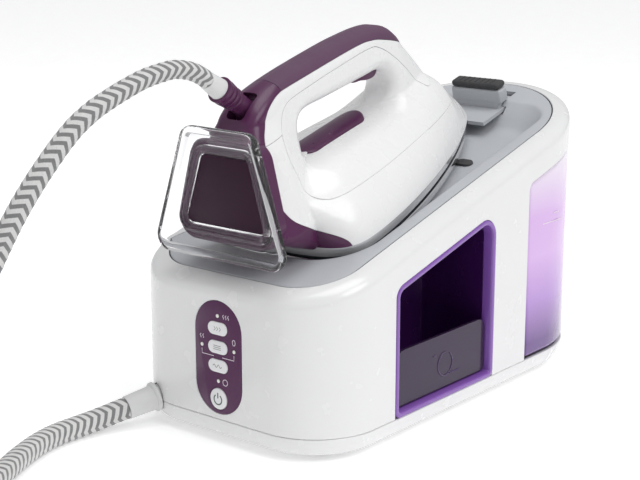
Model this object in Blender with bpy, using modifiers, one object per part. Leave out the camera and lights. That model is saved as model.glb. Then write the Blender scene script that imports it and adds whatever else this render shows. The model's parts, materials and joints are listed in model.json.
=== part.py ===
"""Steam generator iron: a base station with boiler, pump and removable water tank, and an iron with a
clear heel stand that rests on the sloping deck and is fed by a steam hose.

+Z is up, -Y is the front with the control panel, +Y is the tank end, +X is the storage pocket side.
Sizes are in millimetres and MM turns them into metres. The iron is built in its own frame (x, u, w):
u runs up the sloping deck towards the iron's tip and w stands square to the deck.
"""

import math

import bmesh
import bpy
import numpy as np
from mathutils import Matrix, Vector

MM = 0.001
GAP = 0.3

# Base station
BASE_HALF = 96.0
BASE_END = 185.0
FRONT_RADIUS = 52.0
REAR_RADIUS = 93.0
FOOT_TOP = 4.2
SPLIT_Z = 18.0
WALL = 2.6
DECK_Z = 167.7
DECK_ANGLE = math.radians(15.74)
RIM_INSET = 13.8
RIM_DROP = 9.0
BAY_Y = 60.0
BAY_DROP = 26.0
PAN_DEPTH = 15.5

# Storage pocket on the +X side
POCKET_FRONT = -109.0
POCKET_BACK = 14.0
POCKET_FLOOR = 18.6
POCKET_TOP = 141.9
POCKET_SLOPE = 0.2677
POCKET_IN_X = 34.0
FENCE_TOP = 65.0

# Control panel on the front
PANEL_Z = 63.3
PANEL_HALF = 21.5
PANEL_HEIGHT = 81.7
PANEL_Y = -185.6
BUTTONS = {"button_turbo": 84.5, "button_mode": 71.0, "button_clean": 57.5}
POWER_Z = 33.5
LAMPS = {"lamp_turbo": (0.0, 93.5), "lamp_left": (-15.0, 70.5),
         "lamp_right": (15.0, 70.5), "lamp_clean": (0.0, 46.5)}

# Iron
SOLE_HALF = 66.0
SOLE_WIDE_U = -94.0
SOLE_TIP_U = 112.0
SOLE_BACK_U = -132.0
SOLE_LOW = -13.0
SOLE_TOP = -6.0
SHELL_LOW = 5.0
BAR_MID = 101.0
BAR_HALF = 16.0
BAR_RISE = 17.6
NOSE = ((2, 110), (8, 108), (14, 103.5), (23, 96), (30.5, 88), (39, 80), (48.5, 72), (55.5, 66.5),
        (70, 56.5), (83, 46.4), (90, 40.3), (99.5, 33), (106, 25), (110.5, 18), (113.5, 10.4),
        (116, 0), (117.5, -8), (118.6, -20))
BACK = ((2, -131), (8, -140), (15, -152), (22, -162), (28, -168), (40, -167), (60, -162),
        (78, -157.5), (88, -153.5), (94, -150.5), (100, -146), (105, -140), (109.5, -132.5),
        (113.5, -123.5), (116.5, -113.5), (118, -104), (118.6, -95))
CREST = ((-170, 36), (-131, 44), (-94, 54), (-60, 55.5), (-10, 55), (20, 58), (45, 60), (66.5, 55.5),
         (72, 48.5), (80, 39), (88, 30.5), (96, 23), (104.5, 14), (110, 5))
PIVOT_U = -127.0
PIVOT_W = 100.3
COLLAR_ANGLE = math.radians(32.0)

# Steam hose: straight out of the boot and the cuff, then along hand-chosen points
LOWER_HOSE_RADIUS = 8.1
UPPER_HOSE_RADIUS = 6.4
COIL_CENTRE = (-110.0, -435.0)
COIL_RADIUS = 90.0
BOOT_AT = (-66.4, -179.8, 19.3)
BOOT_AXIS = (-0.34, -0.92, -0.2)
BOOT_END = 25.0
CUFF_START = 36.3
CUFF_END = 49.5
LOWER_ROUTE = ((-75.05, -203.2, 14.2), (-78, -211.3, 12.5), (-82.5, -226, 9.8), (-85.5, -243, 8.4),
               (-85.4, -262, 8.3), (-80, -284, 8.3), (-71, -306, 8.3), (-61, -326, 8.3),
               (-50, -348.2, 8.3))
UPPER_ROUTE = ((0, -191.75, 256.23), (0, -198, 260.1), (0, -208, 263.9), (-1, -220, 265.9),
               (-1.4, -231, 265.1), (-2.5, -246, 262.4), (-4, -262, 257.1), (-5.4, -274, 252.2),
               (-7, -286.5, 246.2), (-10, -301, 235.5), (-15, -319, 215), (-22, -336, 189),
               (-31, -349, 159), (-43, -357.5, 127), (-57, -360.5, 96), (-74, -358, 68),
               (-90, -353, 48), (-102.4, -349, 35.9))

PARTS = "steam_generator_iron"


# ---------------------------------------------------------------- scene and materials
def clear_scene():
    for obj in list(bpy.data.objects):
        bpy.data.objects.remove(obj, do_unlink=True)


def collection(name, hidden=False):
    made = bpy.data.collections.new(name)
    bpy.context.scene.collection.children.link(made)
    made.hide_render = hidden
    return made


def material(name, colour, rough=0.4, metal=0.0, clear=0.0):
    mat = bpy.data.materials.new(name)
    mat.use_nodes = True
    shader = mat.node_tree.nodes["Principled BSDF"]
    shader.inputs["Base Color"].default_value = (*colour, 1.0)
    shader.inputs["Roughness"].default_value = rough
    shader.inputs["Metallic"].default_value = metal
    shader.inputs["Transmission Weight"].default_value = clear
    mat.diffuse_color = (*colour, 1.0 - 0.6 * clear)
    return mat


# ---------------------------------------------------------------- shape helpers
def adopt(name, mesh, mat, parent=None, at=(0, 0, 0), helper=False):
    """The mesh as an object in its collection, its origin moved to the point at, in millimetres."""
    mesh.transform(Matrix.Translation(-Vector(at) * MM))
    obj = bpy.data.objects.new(name, mesh)
    bpy.data.collections["cutters" if helper else PARTS].objects.link(obj)
    obj.location = Vector(at) * MM
    obj.parent = parent
    if helper:
        obj.hide_render = True
        obj.display_type = "WIRE"
    else:
        mesh.materials.append(mat)
    return obj


def finished(bm, smooth=35.0):
    """A mesh from the bmesh, its faces turned outwards and shaded smooth up to an angle."""
    bmesh.ops.recalc_face_normals(bm, faces=bm.faces)
    mesh = bpy.data.meshes.new("mesh")
    bm.to_mesh(mesh)
    bm.free()
    mesh.shade_smooth()
    mesh.set_sharp_from_angle(angle=math.radians(smooth))
    return mesh


def loft(name, rings, mat, parent=None, wrap=False, at=(0, 0, 0), helper=False):
    """A solid through rings of equally many points, capped at its ends or, with wrap, closed on itself."""
    bm = bmesh.new()
    rows = [[bm.verts.new(Vector(p) * MM) for p in ring] for ring in rings]
    count = len(rows[0])
    pairs = list(zip(rows, rows[1:]))
    if wrap:
        pairs.append((rows[-1], rows[0]))
    else:
        bm.faces.new(rows[0])
        bm.faces.new(rows[-1])
    for low, high in pairs:
        for i in range(count):
            j = (i + 1) % count
            bm.faces.new((low[i], low[j], high[j], high[i]))
    return adopt(name, finished(bm), mat, parent, at, helper)


def box(name, low, high, mat=None, parent=None, bevel=0.0, at=(0, 0, 0), helper=False):
    bm = bmesh.new()
    bmesh.ops.create_cube(bm, size=1.0)
    low, high = Vector(low), Vector(high)
    size = (high - low) * MM
    bmesh.ops.scale(bm, vec=size, verts=bm.verts)
    bmesh.ops.translate(bm, vec=(low + high) / 2 * MM, verts=bm.verts)
    if bevel:
        bmesh.ops.bevel(bm, geom=bm.edges[:], offset=bevel * MM, segments=2, profile=0.5,
                        affect="EDGES")
    return adopt(name, finished(bm), mat, parent, at, helper)


def rod(name, start, end, radius, mat=None, parent=None, sides=20, end_radius=None, at=(0, 0, 0),
        helper=False):
    """A cylinder or cone from start to end."""
    start, end = Vector(start), Vector(end)
    line = end - start
    bm = bmesh.new()
    bmesh.ops.create_cone(bm, cap_ends=True, segments=sides, radius1=radius * MM,
                          radius2=(radius if end_radius is None else end_radius) * MM,
                          depth=line.length * MM)
    turn = line.to_track_quat("Z", "Y").to_matrix().to_4x4()
    bmesh.ops.transform(bm, matrix=Matrix.Translation((start + end) / 2 * MM) @ turn, verts=bm.verts)
    return adopt(name, finished(bm), mat, parent, at, helper)


def turned(name, profile, start, axis, mat, parent=None, steps=24, at=(0, 0, 0)):
    """A turned solid: profile is (radius, height) from the top of the axis to its foot."""
    bm = bmesh.new()
    points = [bm.verts.new((radius * MM, 0, height * MM)) for radius, height in profile]
    for a, b in zip(points, points[1:]):
        bm.edges.new((a, b))
    mesh = bpy.data.meshes.new("profile")
    bm.to_mesh(mesh)
    bm.free()
    obj = adopt(name, mesh, mat, parent)
    screw = obj.modifiers.new("turn", "SCREW")
    screw.steps = screw.render_steps = steps
    screw.use_merge_vertices = True
    screw.merge_threshold = 0.00001
    turn = Vector(axis).to_track_quat("Z", "Y").to_matrix().to_4x4()
    obj.matrix_local = Matrix.Translation(Vector(start) * MM) @ turn
    return obj


def tube(name, route, radius, mat, parent=None, sides=2, dense=0.0):
    """A tube along a smooth curve through the route's points."""
    points = smooth_line(route, dense) if dense else [Vector(p) for p in route]
    curve = bpy.data.curves.new(name, "CURVE")
    curve.dimensions = "3D"
    curve.bevel_depth = radius * MM
    curve.bevel_resolution = sides
    curve.use_fill_caps = True
    spline = curve.splines.new("POLY")
    spline.points.add(len(points) - 1)
    for point, place in zip(spline.points, points):
        point.co = (*(place * MM), 1.0)
    curve.materials.append(mat)
    obj = bpy.data.objects.new(name, curve)
    bpy.data.collections[PARTS].objects.link(obj)
    obj.parent = parent
    return obj


def smooth_line(route, step):
    """Points about step apart on a smooth curve through the route (Catmull-Rom)."""
    points = [Vector(p) for p in route]
    padded = [2 * points[0] - points[1], *points, 2 * points[-1] - points[-2]]
    line = []
    for a, b, c, d in zip(padded, padded[1:], padded[2:], padded[3:]):
        count = max(1, round((c - b).length / step))
        for k in range(count):
            t = k / count
            line.append(0.5 * (2 * b + (c - a) * t + (2 * a - 5 * b + 4 * c - d) * t * t
                               + (3 * b - a - 3 * c + d) * t ** 3))
    return line + [points[-1]]


def cut(obj, cutter):
    modifier = obj.modifiers.new("cut", "BOOLEAN")
    modifier.operation = "DIFFERENCE"
    modifier.solver = "EXACT"
    modifier.object = cutter


def fuse(obj, other):
    """Joins a helper solid to the object."""
    modifier = obj.modifiers.new("fuse", "BOOLEAN")
    modifier.operation = "UNION"
    modifier.solver = "EXACT"
    modifier.object = other


def keep_within(obj, region):
    modifier = obj.modifiers.new("within", "BOOLEAN")
    modifier.operation = "INTERSECT"
    modifier.solver = "EXACT"
    modifier.object = region


# ---------------------------------------------------------------- outlines
def arc(centre, radius, start, end, steps):
    return [(centre[0] + radius * math.cos(math.radians(start + (end - start) * k / steps)),
             centre[1] + radius * math.sin(math.radians(start + (end - start) * k / steps)))
            for k in range(steps + 1)]


def rounded(half, front, back, front_radius, back_radius, front_steps=6, back_steps=9):
    """A rectangle with rounded corners, x = +-half, y from front to back, counter-clockwise."""
    return (arc((half - front_radius, front + front_radius), front_radius, -90, 0, front_steps)
            + arc((half - back_radius, back - back_radius), back_radius, 0, 90, back_steps)
            + arc((-half + back_radius, back - back_radius), back_radius, 90, 180, back_steps)
            + arc((-half + front_radius, front + front_radius), front_radius, 180, 270, front_steps))


def footprint(inset):
    return rounded(BASE_HALF - inset, -BASE_END + inset, BASE_END - inset,
                   FRONT_RADIUS - inset, REAR_RADIUS - inset)


def deck_height(y):
    return DECK_Z + math.tan(DECK_ANGLE) * y


def level(outline, z):
    return [(x, y, z) for x, y in outline]


def below_deck(outline, drop):
    return [(x, y, deck_height(y) - drop) for x, y in outline]


def stadium(half_width, height, steps=8):
    """A pill upright in the plane, centred on the origin."""
    rise = height / 2 - half_width
    return (arc((0, rise), half_width, 0, 180, steps) + arc((0, -rise), half_width, 180, 360, steps))


def lying(outline):
    return [(b, -a) for a, b in outline]


def corners_rounded(corners, radii, steps=3):
    """The polygon with each corner replaced by an arc of its own radius."""
    points = []
    count = len(corners)
    for i, radius in enumerate(radii):
        here = Vector(corners[i])
        before = (Vector(corners[i - 1]) - here).normalized()
        after = (Vector(corners[(i + 1) % count]) - here).normalized()
        half = before.angle(after) / 2
        reach = radius / math.tan(half)
        start, end = here + before * reach, here + after * reach
        centre = here + (before + after).normalized() * (radius / math.sin(half))
        a, b = start - centre, end - centre
        angle = a.angle(b)
        for k in range(steps + 1):
            t = k / steps
            way = (a * math.sin((1 - t) * angle) + b * math.sin(t * angle)) / math.sin(angle)
            points.append(tuple(centre + way))
    return points


def pocket_outline(inset):
    """The storage pocket's mouth as (y, z), its top edge running parallel to the deck."""
    front, back, floor = POCKET_FRONT + inset, POCKET_BACK - inset, POCKET_FLOOR + inset
    lift = POCKET_TOP - inset * math.hypot(1, POCKET_SLOPE)
    corners = ((front, floor), (back, floor), (back, lift + POCKET_SLOPE * back),
               (front, lift + POCKET_SLOPE * front))
    radii = [max(radius - inset, 1.5) for radius in (6.0, 6.0, 14.0, 10.0)]
    return corners_rounded(corners, radii)


# ---------------------------------------------------------------- the iron's outer form
def eased(x, table):
    """A smooth monotone curve through the table's points."""
    xs, ys = np.array(table, float).T
    x = float(np.clip(x, xs[0], xs[-1]))
    slopes = np.diff(ys) / np.diff(xs)
    ends = np.concatenate([slopes[:1], np.zeros(len(slopes) - 1), slopes[-1:]])
    same = slopes[:-1] * slopes[1:] > 0
    ends[1:-1][same] = 2 / (1 / slopes[:-1][same] + 1 / slopes[1:][same])
    i = int(min(np.searchsorted(xs, x, side="right") - 1, len(slopes) - 1))
    h = xs[i + 1] - xs[i]
    t = (x - xs[i]) / h
    return float((1 + 2 * t) * (1 - t) ** 2 * ys[i] + t * (1 - t) ** 2 * h * ends[i]
                 + t * t * (3 - 2 * t) * ys[i + 1] + t * t * (t - 1) * h * ends[i + 1])


def sole_half(u, half=SOLE_HALF):
    """The sole's half width: a long bow to the tip and a rounded back."""
    bow = np.clip((u - SOLE_WIDE_U) / (SOLE_TIP_U - SOLE_WIDE_U), 0, 1)
    back = np.clip((SOLE_WIDE_U - u) / (SOLE_WIDE_U - SOLE_BACK_U), 0, 1)
    return float(half * (1 - bow ** 1.6) ** 0.75 * (1 - back ** 3) ** (1 / 3))


def body_half(u, w):
    """The iron's half width at a point of its side view: a bowed body under a slimmer handle loop."""
    height = (w - 2.0) / (eased(u, CREST) - 2.0)
    low = sole_half(u, SOLE_HALF + 2) * (1 - np.clip(height, 0, 1) ** 1.6) ** (1 / 2.2)
    if w > BAR_MID:
        bar = BAR_HALF * math.sqrt(max(1 - ((w - BAR_MID) / BAR_RISE) ** 2, 0))
    else:
        bar = BAR_HALF + 0.008 * max(84 - w, 0) ** 1.6
    nose = eased(w, NOSE)
    if u > 20:
        bar *= math.sqrt(max(1 - ((u - 20) / (nose - 20 + 0.01)) ** 2, 0)) if nose > 20 else 1
    heel = min(20 + 0.36 * (98 - w) if w < 98 else min(20, bar + 2), 46)
    t = min(max((-95 - u) / 45, 0), 1)
    t = t * t * (3 - 2 * t)
    return float((low ** 3 + (bar * (1 - t) + heel * t) ** 3) ** (1 / 3))


def body_ring(w, inset=0.0, ahead=None, count=18, corner=9.0, height=None):
    """The body's outline at the height w as points (x, u, w), shrunk by inset."""
    back = eased(w, BACK) + inset
    front = eased(w, NOSE) - inset * 1.4 if ahead is None else ahead
    side = []
    for k in range(count):
        u = back + (front - back) * (1 - math.cos(math.pi * k / (count - 1))) / 2
        half = body_half(u, w) - inset
        near_back = min(max((back + corner - u) / corner, 0), 1)
        half -= corner * (1 - math.sqrt(1 - near_back ** 2))
        reach = 8.0
        near_front = min(max((u - front + reach) / reach, 0), 1)
        half *= math.sqrt(1 - 0.9 * near_front ** 2)
        side.append((max(half, 0.6), u))
    z = w if height is None else height
    return ([(x, u, z) for x, u in side] + [(-x, u, z) for x, u in reversed(side)])


def beside(line, distance, closed=False):
    """The line of (u, w) points moved sideways, to the left of its run where distance is positive."""
    points = [Vector(p) for p in line]
    count = len(points)
    moved = []
    for i, here in enumerate(points):
        before = points[i - 1] if closed or i else here
        after = points[(i + 1) % count] if closed or i < count - 1 else here
        first = (here - before).normalized() if here != before else (after - here).normalized()
        second = (after - here).normalized() if here != after else first
        left = Vector((-first.y - second.y, first.x + second.x)).normalized()
        stretch = max(left.dot(Vector((-first.y, first.x))), 0.4)
        moved.append(tuple(here + left * (distance / stretch)))
    return moved


def region(name, outline, half=90.0):
    """A helper prism across the iron: outline is (u, w) points."""
    return loft(name, [[(-half, u, w) for u, w in outline], [(half, u, w) for u, w in outline]],
                None, iron_frame, helper=True)


# ---------------------------------------------------------------- base station
def base_tray():
    rings = [level(footprint(8.0), 4.5), level(footprint(3.3), 7.5), level(footprint(1.0), 12.0),
             level(footprint(0.2), SPLIT_Z), level(footprint(WALL + 0.4), SPLIT_Z),
             level(footprint(WALL + 1.2), 12.0), level(footprint(6.0), 7.3)]
    tray = loft("base_tray", rings, WHITE)
    cut(tray, BOOT_HOLE)


def feet():
    places = {"front_left": (-62, -148), "front_right": (62, -148), "rear_left": (-56, 140),
              "rear_right": (56, 140)}
    for side, (x, y) in places.items():
        turned("foot_" + side, ((0, FOOT_TOP), (8, FOOT_TOP), (8, 1.2), (6.8, 0), (0, 0)),
               (x, y, 0), (0, 0, 1), RUBBER, steps=16)


def housing_shell():
    outside = [(0, 14), (0, RIM_DROP), (0.8, 6), (3.0, 3.4), (7.0, 1.3), (RIM_INSET, 0)]
    inside = [(RIM_INSET, 3.3), (8.5, 5.2), (4.4, 8.2), (WALL, 14)]
    rings = [level(footprint(0), SPLIT_Z + GAP)]
    rings += [below_deck(footprint(inset), drop) for inset, drop in outside + inside]
    rings.append(level(footprint(WALL), SPLIT_Z + GAP))
    shell = loft("housing_shell", rings, WHITE, wrap=True)
    mouth = [(y, z if z > POCKET_FLOOR + 8 else z - 8) for y, z in pocket_outline(-GAP)]
    cut(shell, loft("pocket_mouth", [[(x, y, z) for y, z in mouth] for x in (80, 110)], None,
                    helper=True))
    side = ((BAY_Y, 0), (260, 0), (260, deck_height(260) - BAY_DROP),
            (BAY_Y, deck_height(BAY_Y) - BAY_DROP))
    side = corners_rounded(side, (1, 1, 1, 7))
    cut(shell, loft("bay_mouth", [[(x, y, z) for y, z in side] for x in (-120, 120)], None,
                    helper=True))
    hole = stadium(PANEL_HALF + GAP, PANEL_HEIGHT + 2 * GAP)
    cut(shell, loft("panel_mouth", [[(x, y, PANEL_Z + z) for x, z in hole] for y in (-200, -170)],
                    None, helper=True))
    cut(shell, BOOT_HOLE)
    cut(shell, MAINS_HOLE)
    return shell


def bulkhead():
    wall = box("tank_bulkhead", (-92.8, 55, SPLIT_Z + 0.8), (92.8, 57.5, 156), WHITE)
    cut(wall, rod("seat_hole", (0, 50, 36), (0, 60, 36), 13.3, helper=True, sides=24))


def rest_deck():
    def pan(half, front, back, drop, corner=40, rear=28):
        return below_deck(rounded(half, front, back, corner, rear), drop)

    down = math.cos(DECK_ANGLE)
    floor = PAN_DEPTH / down
    rings = [pan(62, -127, 120, floor, 36, 24), pan(65, -130, 124, floor - 1.6, 38, 26),
             pan(68.5, -133, 133, floor - 11, 40, 28), pan(70, -135, 138, 0.8, 42, 30),
             pan(72.5, -138, 141, 0.0, 44, 32), below_deck(footprint(RIM_INSET + GAP), 0.0),
             below_deck(footprint(RIM_INSET + GAP), 3.0), pan(73, -138, 142, 3.2, 44, 32),
             pan(71, -136, 137, floor - 7, 42, 30), pan(67, -132, 127, floor + 2.8, 40, 28)]
    deck = loft("rest_deck", rings, DECK_GREY)
    cut(deck, box("lock_slot", (-21.5, 133, -4), (21.5, 163, 4), parent=iron_frame, helper=True))
    cut(deck, box("tongue_slot", (-25.5, 112, -8), (25.5, 150, -3.1), parent=iron_frame,
                  helper=True))


def rest_pads():
    places = {"front_left": (-37, 56), "front_right": (37, 56), "rear_left": (-40, -106),
              "rear_right": (40, -106)}
    for side, (x, u) in places.items():
        outline = lying(stadium(4.8, 15))
        rings = [[(x + a * k, u + b * k, w) for a, b in outline]
                 for k, w in ((1, -PAN_DEPTH + GAP), (1, -13.9), (0.8, SOLE_LOW - GAP))]
        loft("rest_pad_" + side, rings, RUBBER, iron_frame)


def lock():
    """The sliding lock: a tongue over the sole's tip, a block on the deck and a soft grip on it."""
    tongue = ((-17, 162), (-24, 152), (-24, 107), (-9, 107), (0, 114), (9, 107), (24, 107), (24, 152),
              (17, 162))
    slider = loft("lock_slider", [[(x, u, w) for x, u in tongue] for w in (-6.5, -3.5)], DECK_GREY,
                  iron_frame, at=(0, 141, 0))
    fuse(slider, box("lock_stem", (-20.5, 135.5, -5), (20.5, 146.5, 2), parent=iron_frame,
                     helper=True))
    fuse(slider, box("lock_block", (-23.5, 135, 0.4), (23.5, 147, 12), parent=iron_frame,
                     bevel=1.2, helper=True))
    box("lock_grip", (-22.8, 134.3, 12.3), (22.8, 147.4, 18), SOFT_BLACK, iron_frame, bevel=2.2,
        at=(0, 141, 12))


def storage_pocket():
    def mouth(inset, x):
        return [(x, y, z) for y, z in pocket_outline(inset)]

    rings = [mouth(2.6, POCKET_IN_X - 2), mouth(2.6, 91), mouth(0, 91), mouth(0, BASE_HALF),
             mouth(0.8, BASE_HALF + 0.8), mouth(3.4, BASE_HALF + 0.8), mouth(4.4, BASE_HALF - 0.5),
             mouth(5.2, POCKET_IN_X)]
    loft("storage_pocket", rings, VIOLET)
    edge = corners_rounded(((POCKET_FRONT + 5.7, POCKET_FLOOR + 5.7),
                            (POCKET_BACK - 5.7, POCKET_FLOOR + 5.7),
                            (POCKET_BACK - 5.7, FENCE_TOP), (POCKET_FRONT + 5.7, FENCE_TOP)),
                           (3, 3, 9, 9))
    loft("storage_fence", [[(x, y, z) for y, z in edge] for x in (89.5, 92)], SMOKE)


def control_panel():
    def pill(inset, y):
        return [(x, y, PANEL_Z + z)
                for x, z in stadium(PANEL_HALF - inset, PANEL_HEIGHT - 2 * inset)]

    panel = loft("control_panel", [pill(0, -182.6), pill(0, -184.9), pill(0.8, PANEL_Y)], AUBERGINE)
    for name, z in BUTTONS.items():
        hole = [(x, z + h) for x, h in lying(stadium(4.9, 18.4))]
        cut(panel, loft(name + "_hole", [[(x, y, h) for x, h in hole] for y in (-190, -175)], None,
                        helper=True))
        rings = [[(x, y, z + h) for x, h in lying(stadium(half, length))]
                 for half, length, y in ((5.6, 19.8, -179.6), (5.6, 19.8, -182.2),
                                         (4.5, 17.6, -182.2), (4.5, 17.6, -185.9),
                                         (3.8, 16.2, -186.4))]
        loft(name, rings, BUTTON_WHITE, at=(0, -184, z))
    cut(panel, rod("power_hole", (0, -190, POWER_Z), (0, -175, POWER_Z), 8.2, helper=True, sides=28))
    turned("button_power", ((0, 6.8), (6.6, 6.8), (7.8, 6.1), (7.8, 2.6), (9.2, 2.6), (9.2, 0), (0, 0)),
           (0, -179.6, POWER_Z), (0, -1, 0), BUTTON_WHITE, steps=24)
    for name, (x, z) in LAMPS.items():
        cut(panel, rod(name + "_hole", (x, -190, z), (x, -175, z), 1.6, helper=True, sides=12))
        rod(name, (x, -177.6, z), (x, -185.9, z), 1.3, LAMP, sides=12)
    box("control_board", (-17, -177.2, 26), (17, -175.6, 100), BOARD)


def water_tank():
    """A D-shaped tank that fills the rear bay, open at a filler hole in its sloping top."""
    def dee(inset):
        front = BAY_Y + 0.5 + inset
        whole = footprint(0.4 + inset)
        kept = [(x, y) for x, y in whole if y > front + 6]
        side = BASE_HALF - 0.4 - inset
        return [(side - 4, front), (side, front + 4)] + kept + [(-side, front + 4),
                                                                (-side + 4, front)]

    outer = [level(dee(3.0), 19.4), level(dee(0.6), 21.2), level(dee(0), 24),
             below_deck(dee(0), BAY_DROP + 4), below_deck(dee(1.6), BAY_DROP + 1.4)]
    tank = loft("water_tank", outer, TANK_VIOLET, at=(0, 124, 90))
    cut(tank, loft("tank_inside", [level(dee(4.5), 22.4), level(dee(3.0), 25),
                                   below_deck(dee(3.0), BAY_DROP + 5)], None, helper=True))
    hole = Vector((0, 136, deck_height(136) - BAY_DROP))
    cut(tank, rod("filler_hole", hole - Vector((0, 0, 20)), hole + Vector((0, 0, 20)), 15.5,
                  helper=True, sides=28))
    cut(tank, rod("valve_hole", (0, 50, 36), (0, 70, 36), 9.3, helper=True, sides=20))
    turned("tank_valve", ((0, 19), (5, 19), (6.5, 17.5), (6.5, 7.4), (9, 7.4), (9, 0), (0, 0)),
           (0, 69, 36), (0, -1, 0), GREY, steps=20)
    turned("tank_seal", ((6.9, 4.4), (9.2, 4.4), (9.2, 0.3), (6.9, 0.3), (6.9, 4.4)),
           (0, 59.4, 36), (0, -1, 0), RUBBER, steps=20)
    flap_w = -(BAY_DROP + 5) * math.cos(DECK_ANGLE) - GAP - 2.0
    rod("filler_flap", (0, 132, flap_w), (0, 132, flap_w + 1.8), 17.5, VIOLET, iron_frame, sides=28,
        at=(0, 149, flap_w + 0.9))


def valve_seat():
    turned("valve_seat", ((9.6, 17), (13, 17), (13, 3), (9.6, 3), (9.6, 17)), (0, 60.0, 36),
           (0, -1, 0), GREY, steps=24)


def works():
    """The boiler, its heater, the pump, the steam valve and the pipes between them."""
    turned("boiler", ((0, 74), (26, 74), (34, 68), (36, 60), (36, 6), (33, 0), (0, 0)),
           (-46, -62, 34), (0, 0, 1), STEEL, steps=24)
    turned("boiler_heater", ((20, 8), (29, 8), (29, 0), (20, 0), (20, 8)), (-46, -62, 25.4),
           (0, 0, 1), DARK_METAL, steps=24)
    for side, x in (("left", -78.8), ("right", -13.2)):
        box("boiler_bracket_" + side, (x - 2.6, -67, 7.7), (x + 2.6, -57, 33.6), GREY, bevel=0.6)
    box("steam_valve", (-60, -76, 108.4), (-32, -48, 124), BRASS, bevel=1.5)
    turned("pump", ((0, 62), (6, 62), (6, 52), (16, 50), (19, 46), (19, 14), (16, 10), (6, 8), (6, 0),
                    (0, 0)), (-50, 46, 40), (0, -1, 0), GREY, steps=20)
    tube("inlet_pipe", ((-1, 42.6, 36), (-8, 38, 36), (-20, 40, 37), (-32, 48.4, 39),
                        (-43, 49.5, 40)), 3.2, SILICONE, sides=1, dense=6)
    tube("feed_pipe", ((-50, -17.0, 40), (-50, -20, 40.5), (-50, -24.0, 41.4)), 3.2, SILICONE, sides=1)
    tube("steam_pipe", ((-46, -76.6, 116), (-46, -90, 114), (-50, -112, 92), (-56, -134, 50),
                        (-60, -158, 21), (-62.6, -166, 15)), 3.6, SILICONE, sides=1, dense=9)


def hose_boot():
    """The hose's strain relief on the front left corner: a flange and a tapering sleeve."""
    turned("hose_boot", ((0, BOOT_END), (8.6, BOOT_END), (8.9, 10), (9.3, 4.4), (11.0, 3.8),
                         (11.0, 0.9), (8.2, 0.9), (8.2, -9), (0, -9)), BOOT_AT, BOOT_AXIS, SLEEVE,
           steps=20)


def mains_gland():
    turned("mains_gland", ((0, 3.0), (6.2, 3.0), (6.2, -5), (8.4, -5), (8.4, -8), (0, -8)),
           (-BASE_HALF + 2.8, -84, 34), (-1, 0, 0), SOFT_BLACK, steps=20)


# ---------------------------------------------------------------- iron
def sole_ring(grow, w, count=22):
    side = []
    for k in range(count):
        u = SOLE_BACK_U + (SOLE_TIP_U - SOLE_BACK_U) * (1 - math.cos(math.pi * k / (count - 1))) / 2
        side.append((max(sole_half(u) + grow, 0.5), u - grow if k == 0 else u))
    scale = 1 + 1.6 * grow / (SOLE_TIP_U - SOLE_BACK_U)
    middle = (SOLE_TIP_U + SOLE_BACK_U) / 2
    side = [(x, middle + (u - middle) * scale) for x, u in side]
    return [(x, u, w) for x, u in side] + [(-x, u, w) for x, u in reversed(side)]


def soleplate():
    loft("soleplate", [sole_ring(-4, SOLE_LOW), sole_ring(-1.4, SOLE_LOW + 0.7),
                       sole_ring(-0.4, SOLE_LOW + 2.4), sole_ring(0, SOLE_TOP)], SOLE_METAL,
         iron_frame)
    loft("heat_shield", [sole_ring(-0.6, SOLE_TOP + GAP), sole_ring(1.2, SHELL_LOW - GAP),
                         sole_ring(-4.5, SHELL_LOW - GAP), sole_ring(-6, SOLE_TOP + GAP)],
         SHIELD_GREY, iron_frame, wrap=True)
    loft("steam_chamber", [sole_ring(-14, SOLE_TOP + GAP), sole_ring(-14, 5), sole_ring(-18, 10)],
         CAST_METAL, iron_frame)


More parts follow.
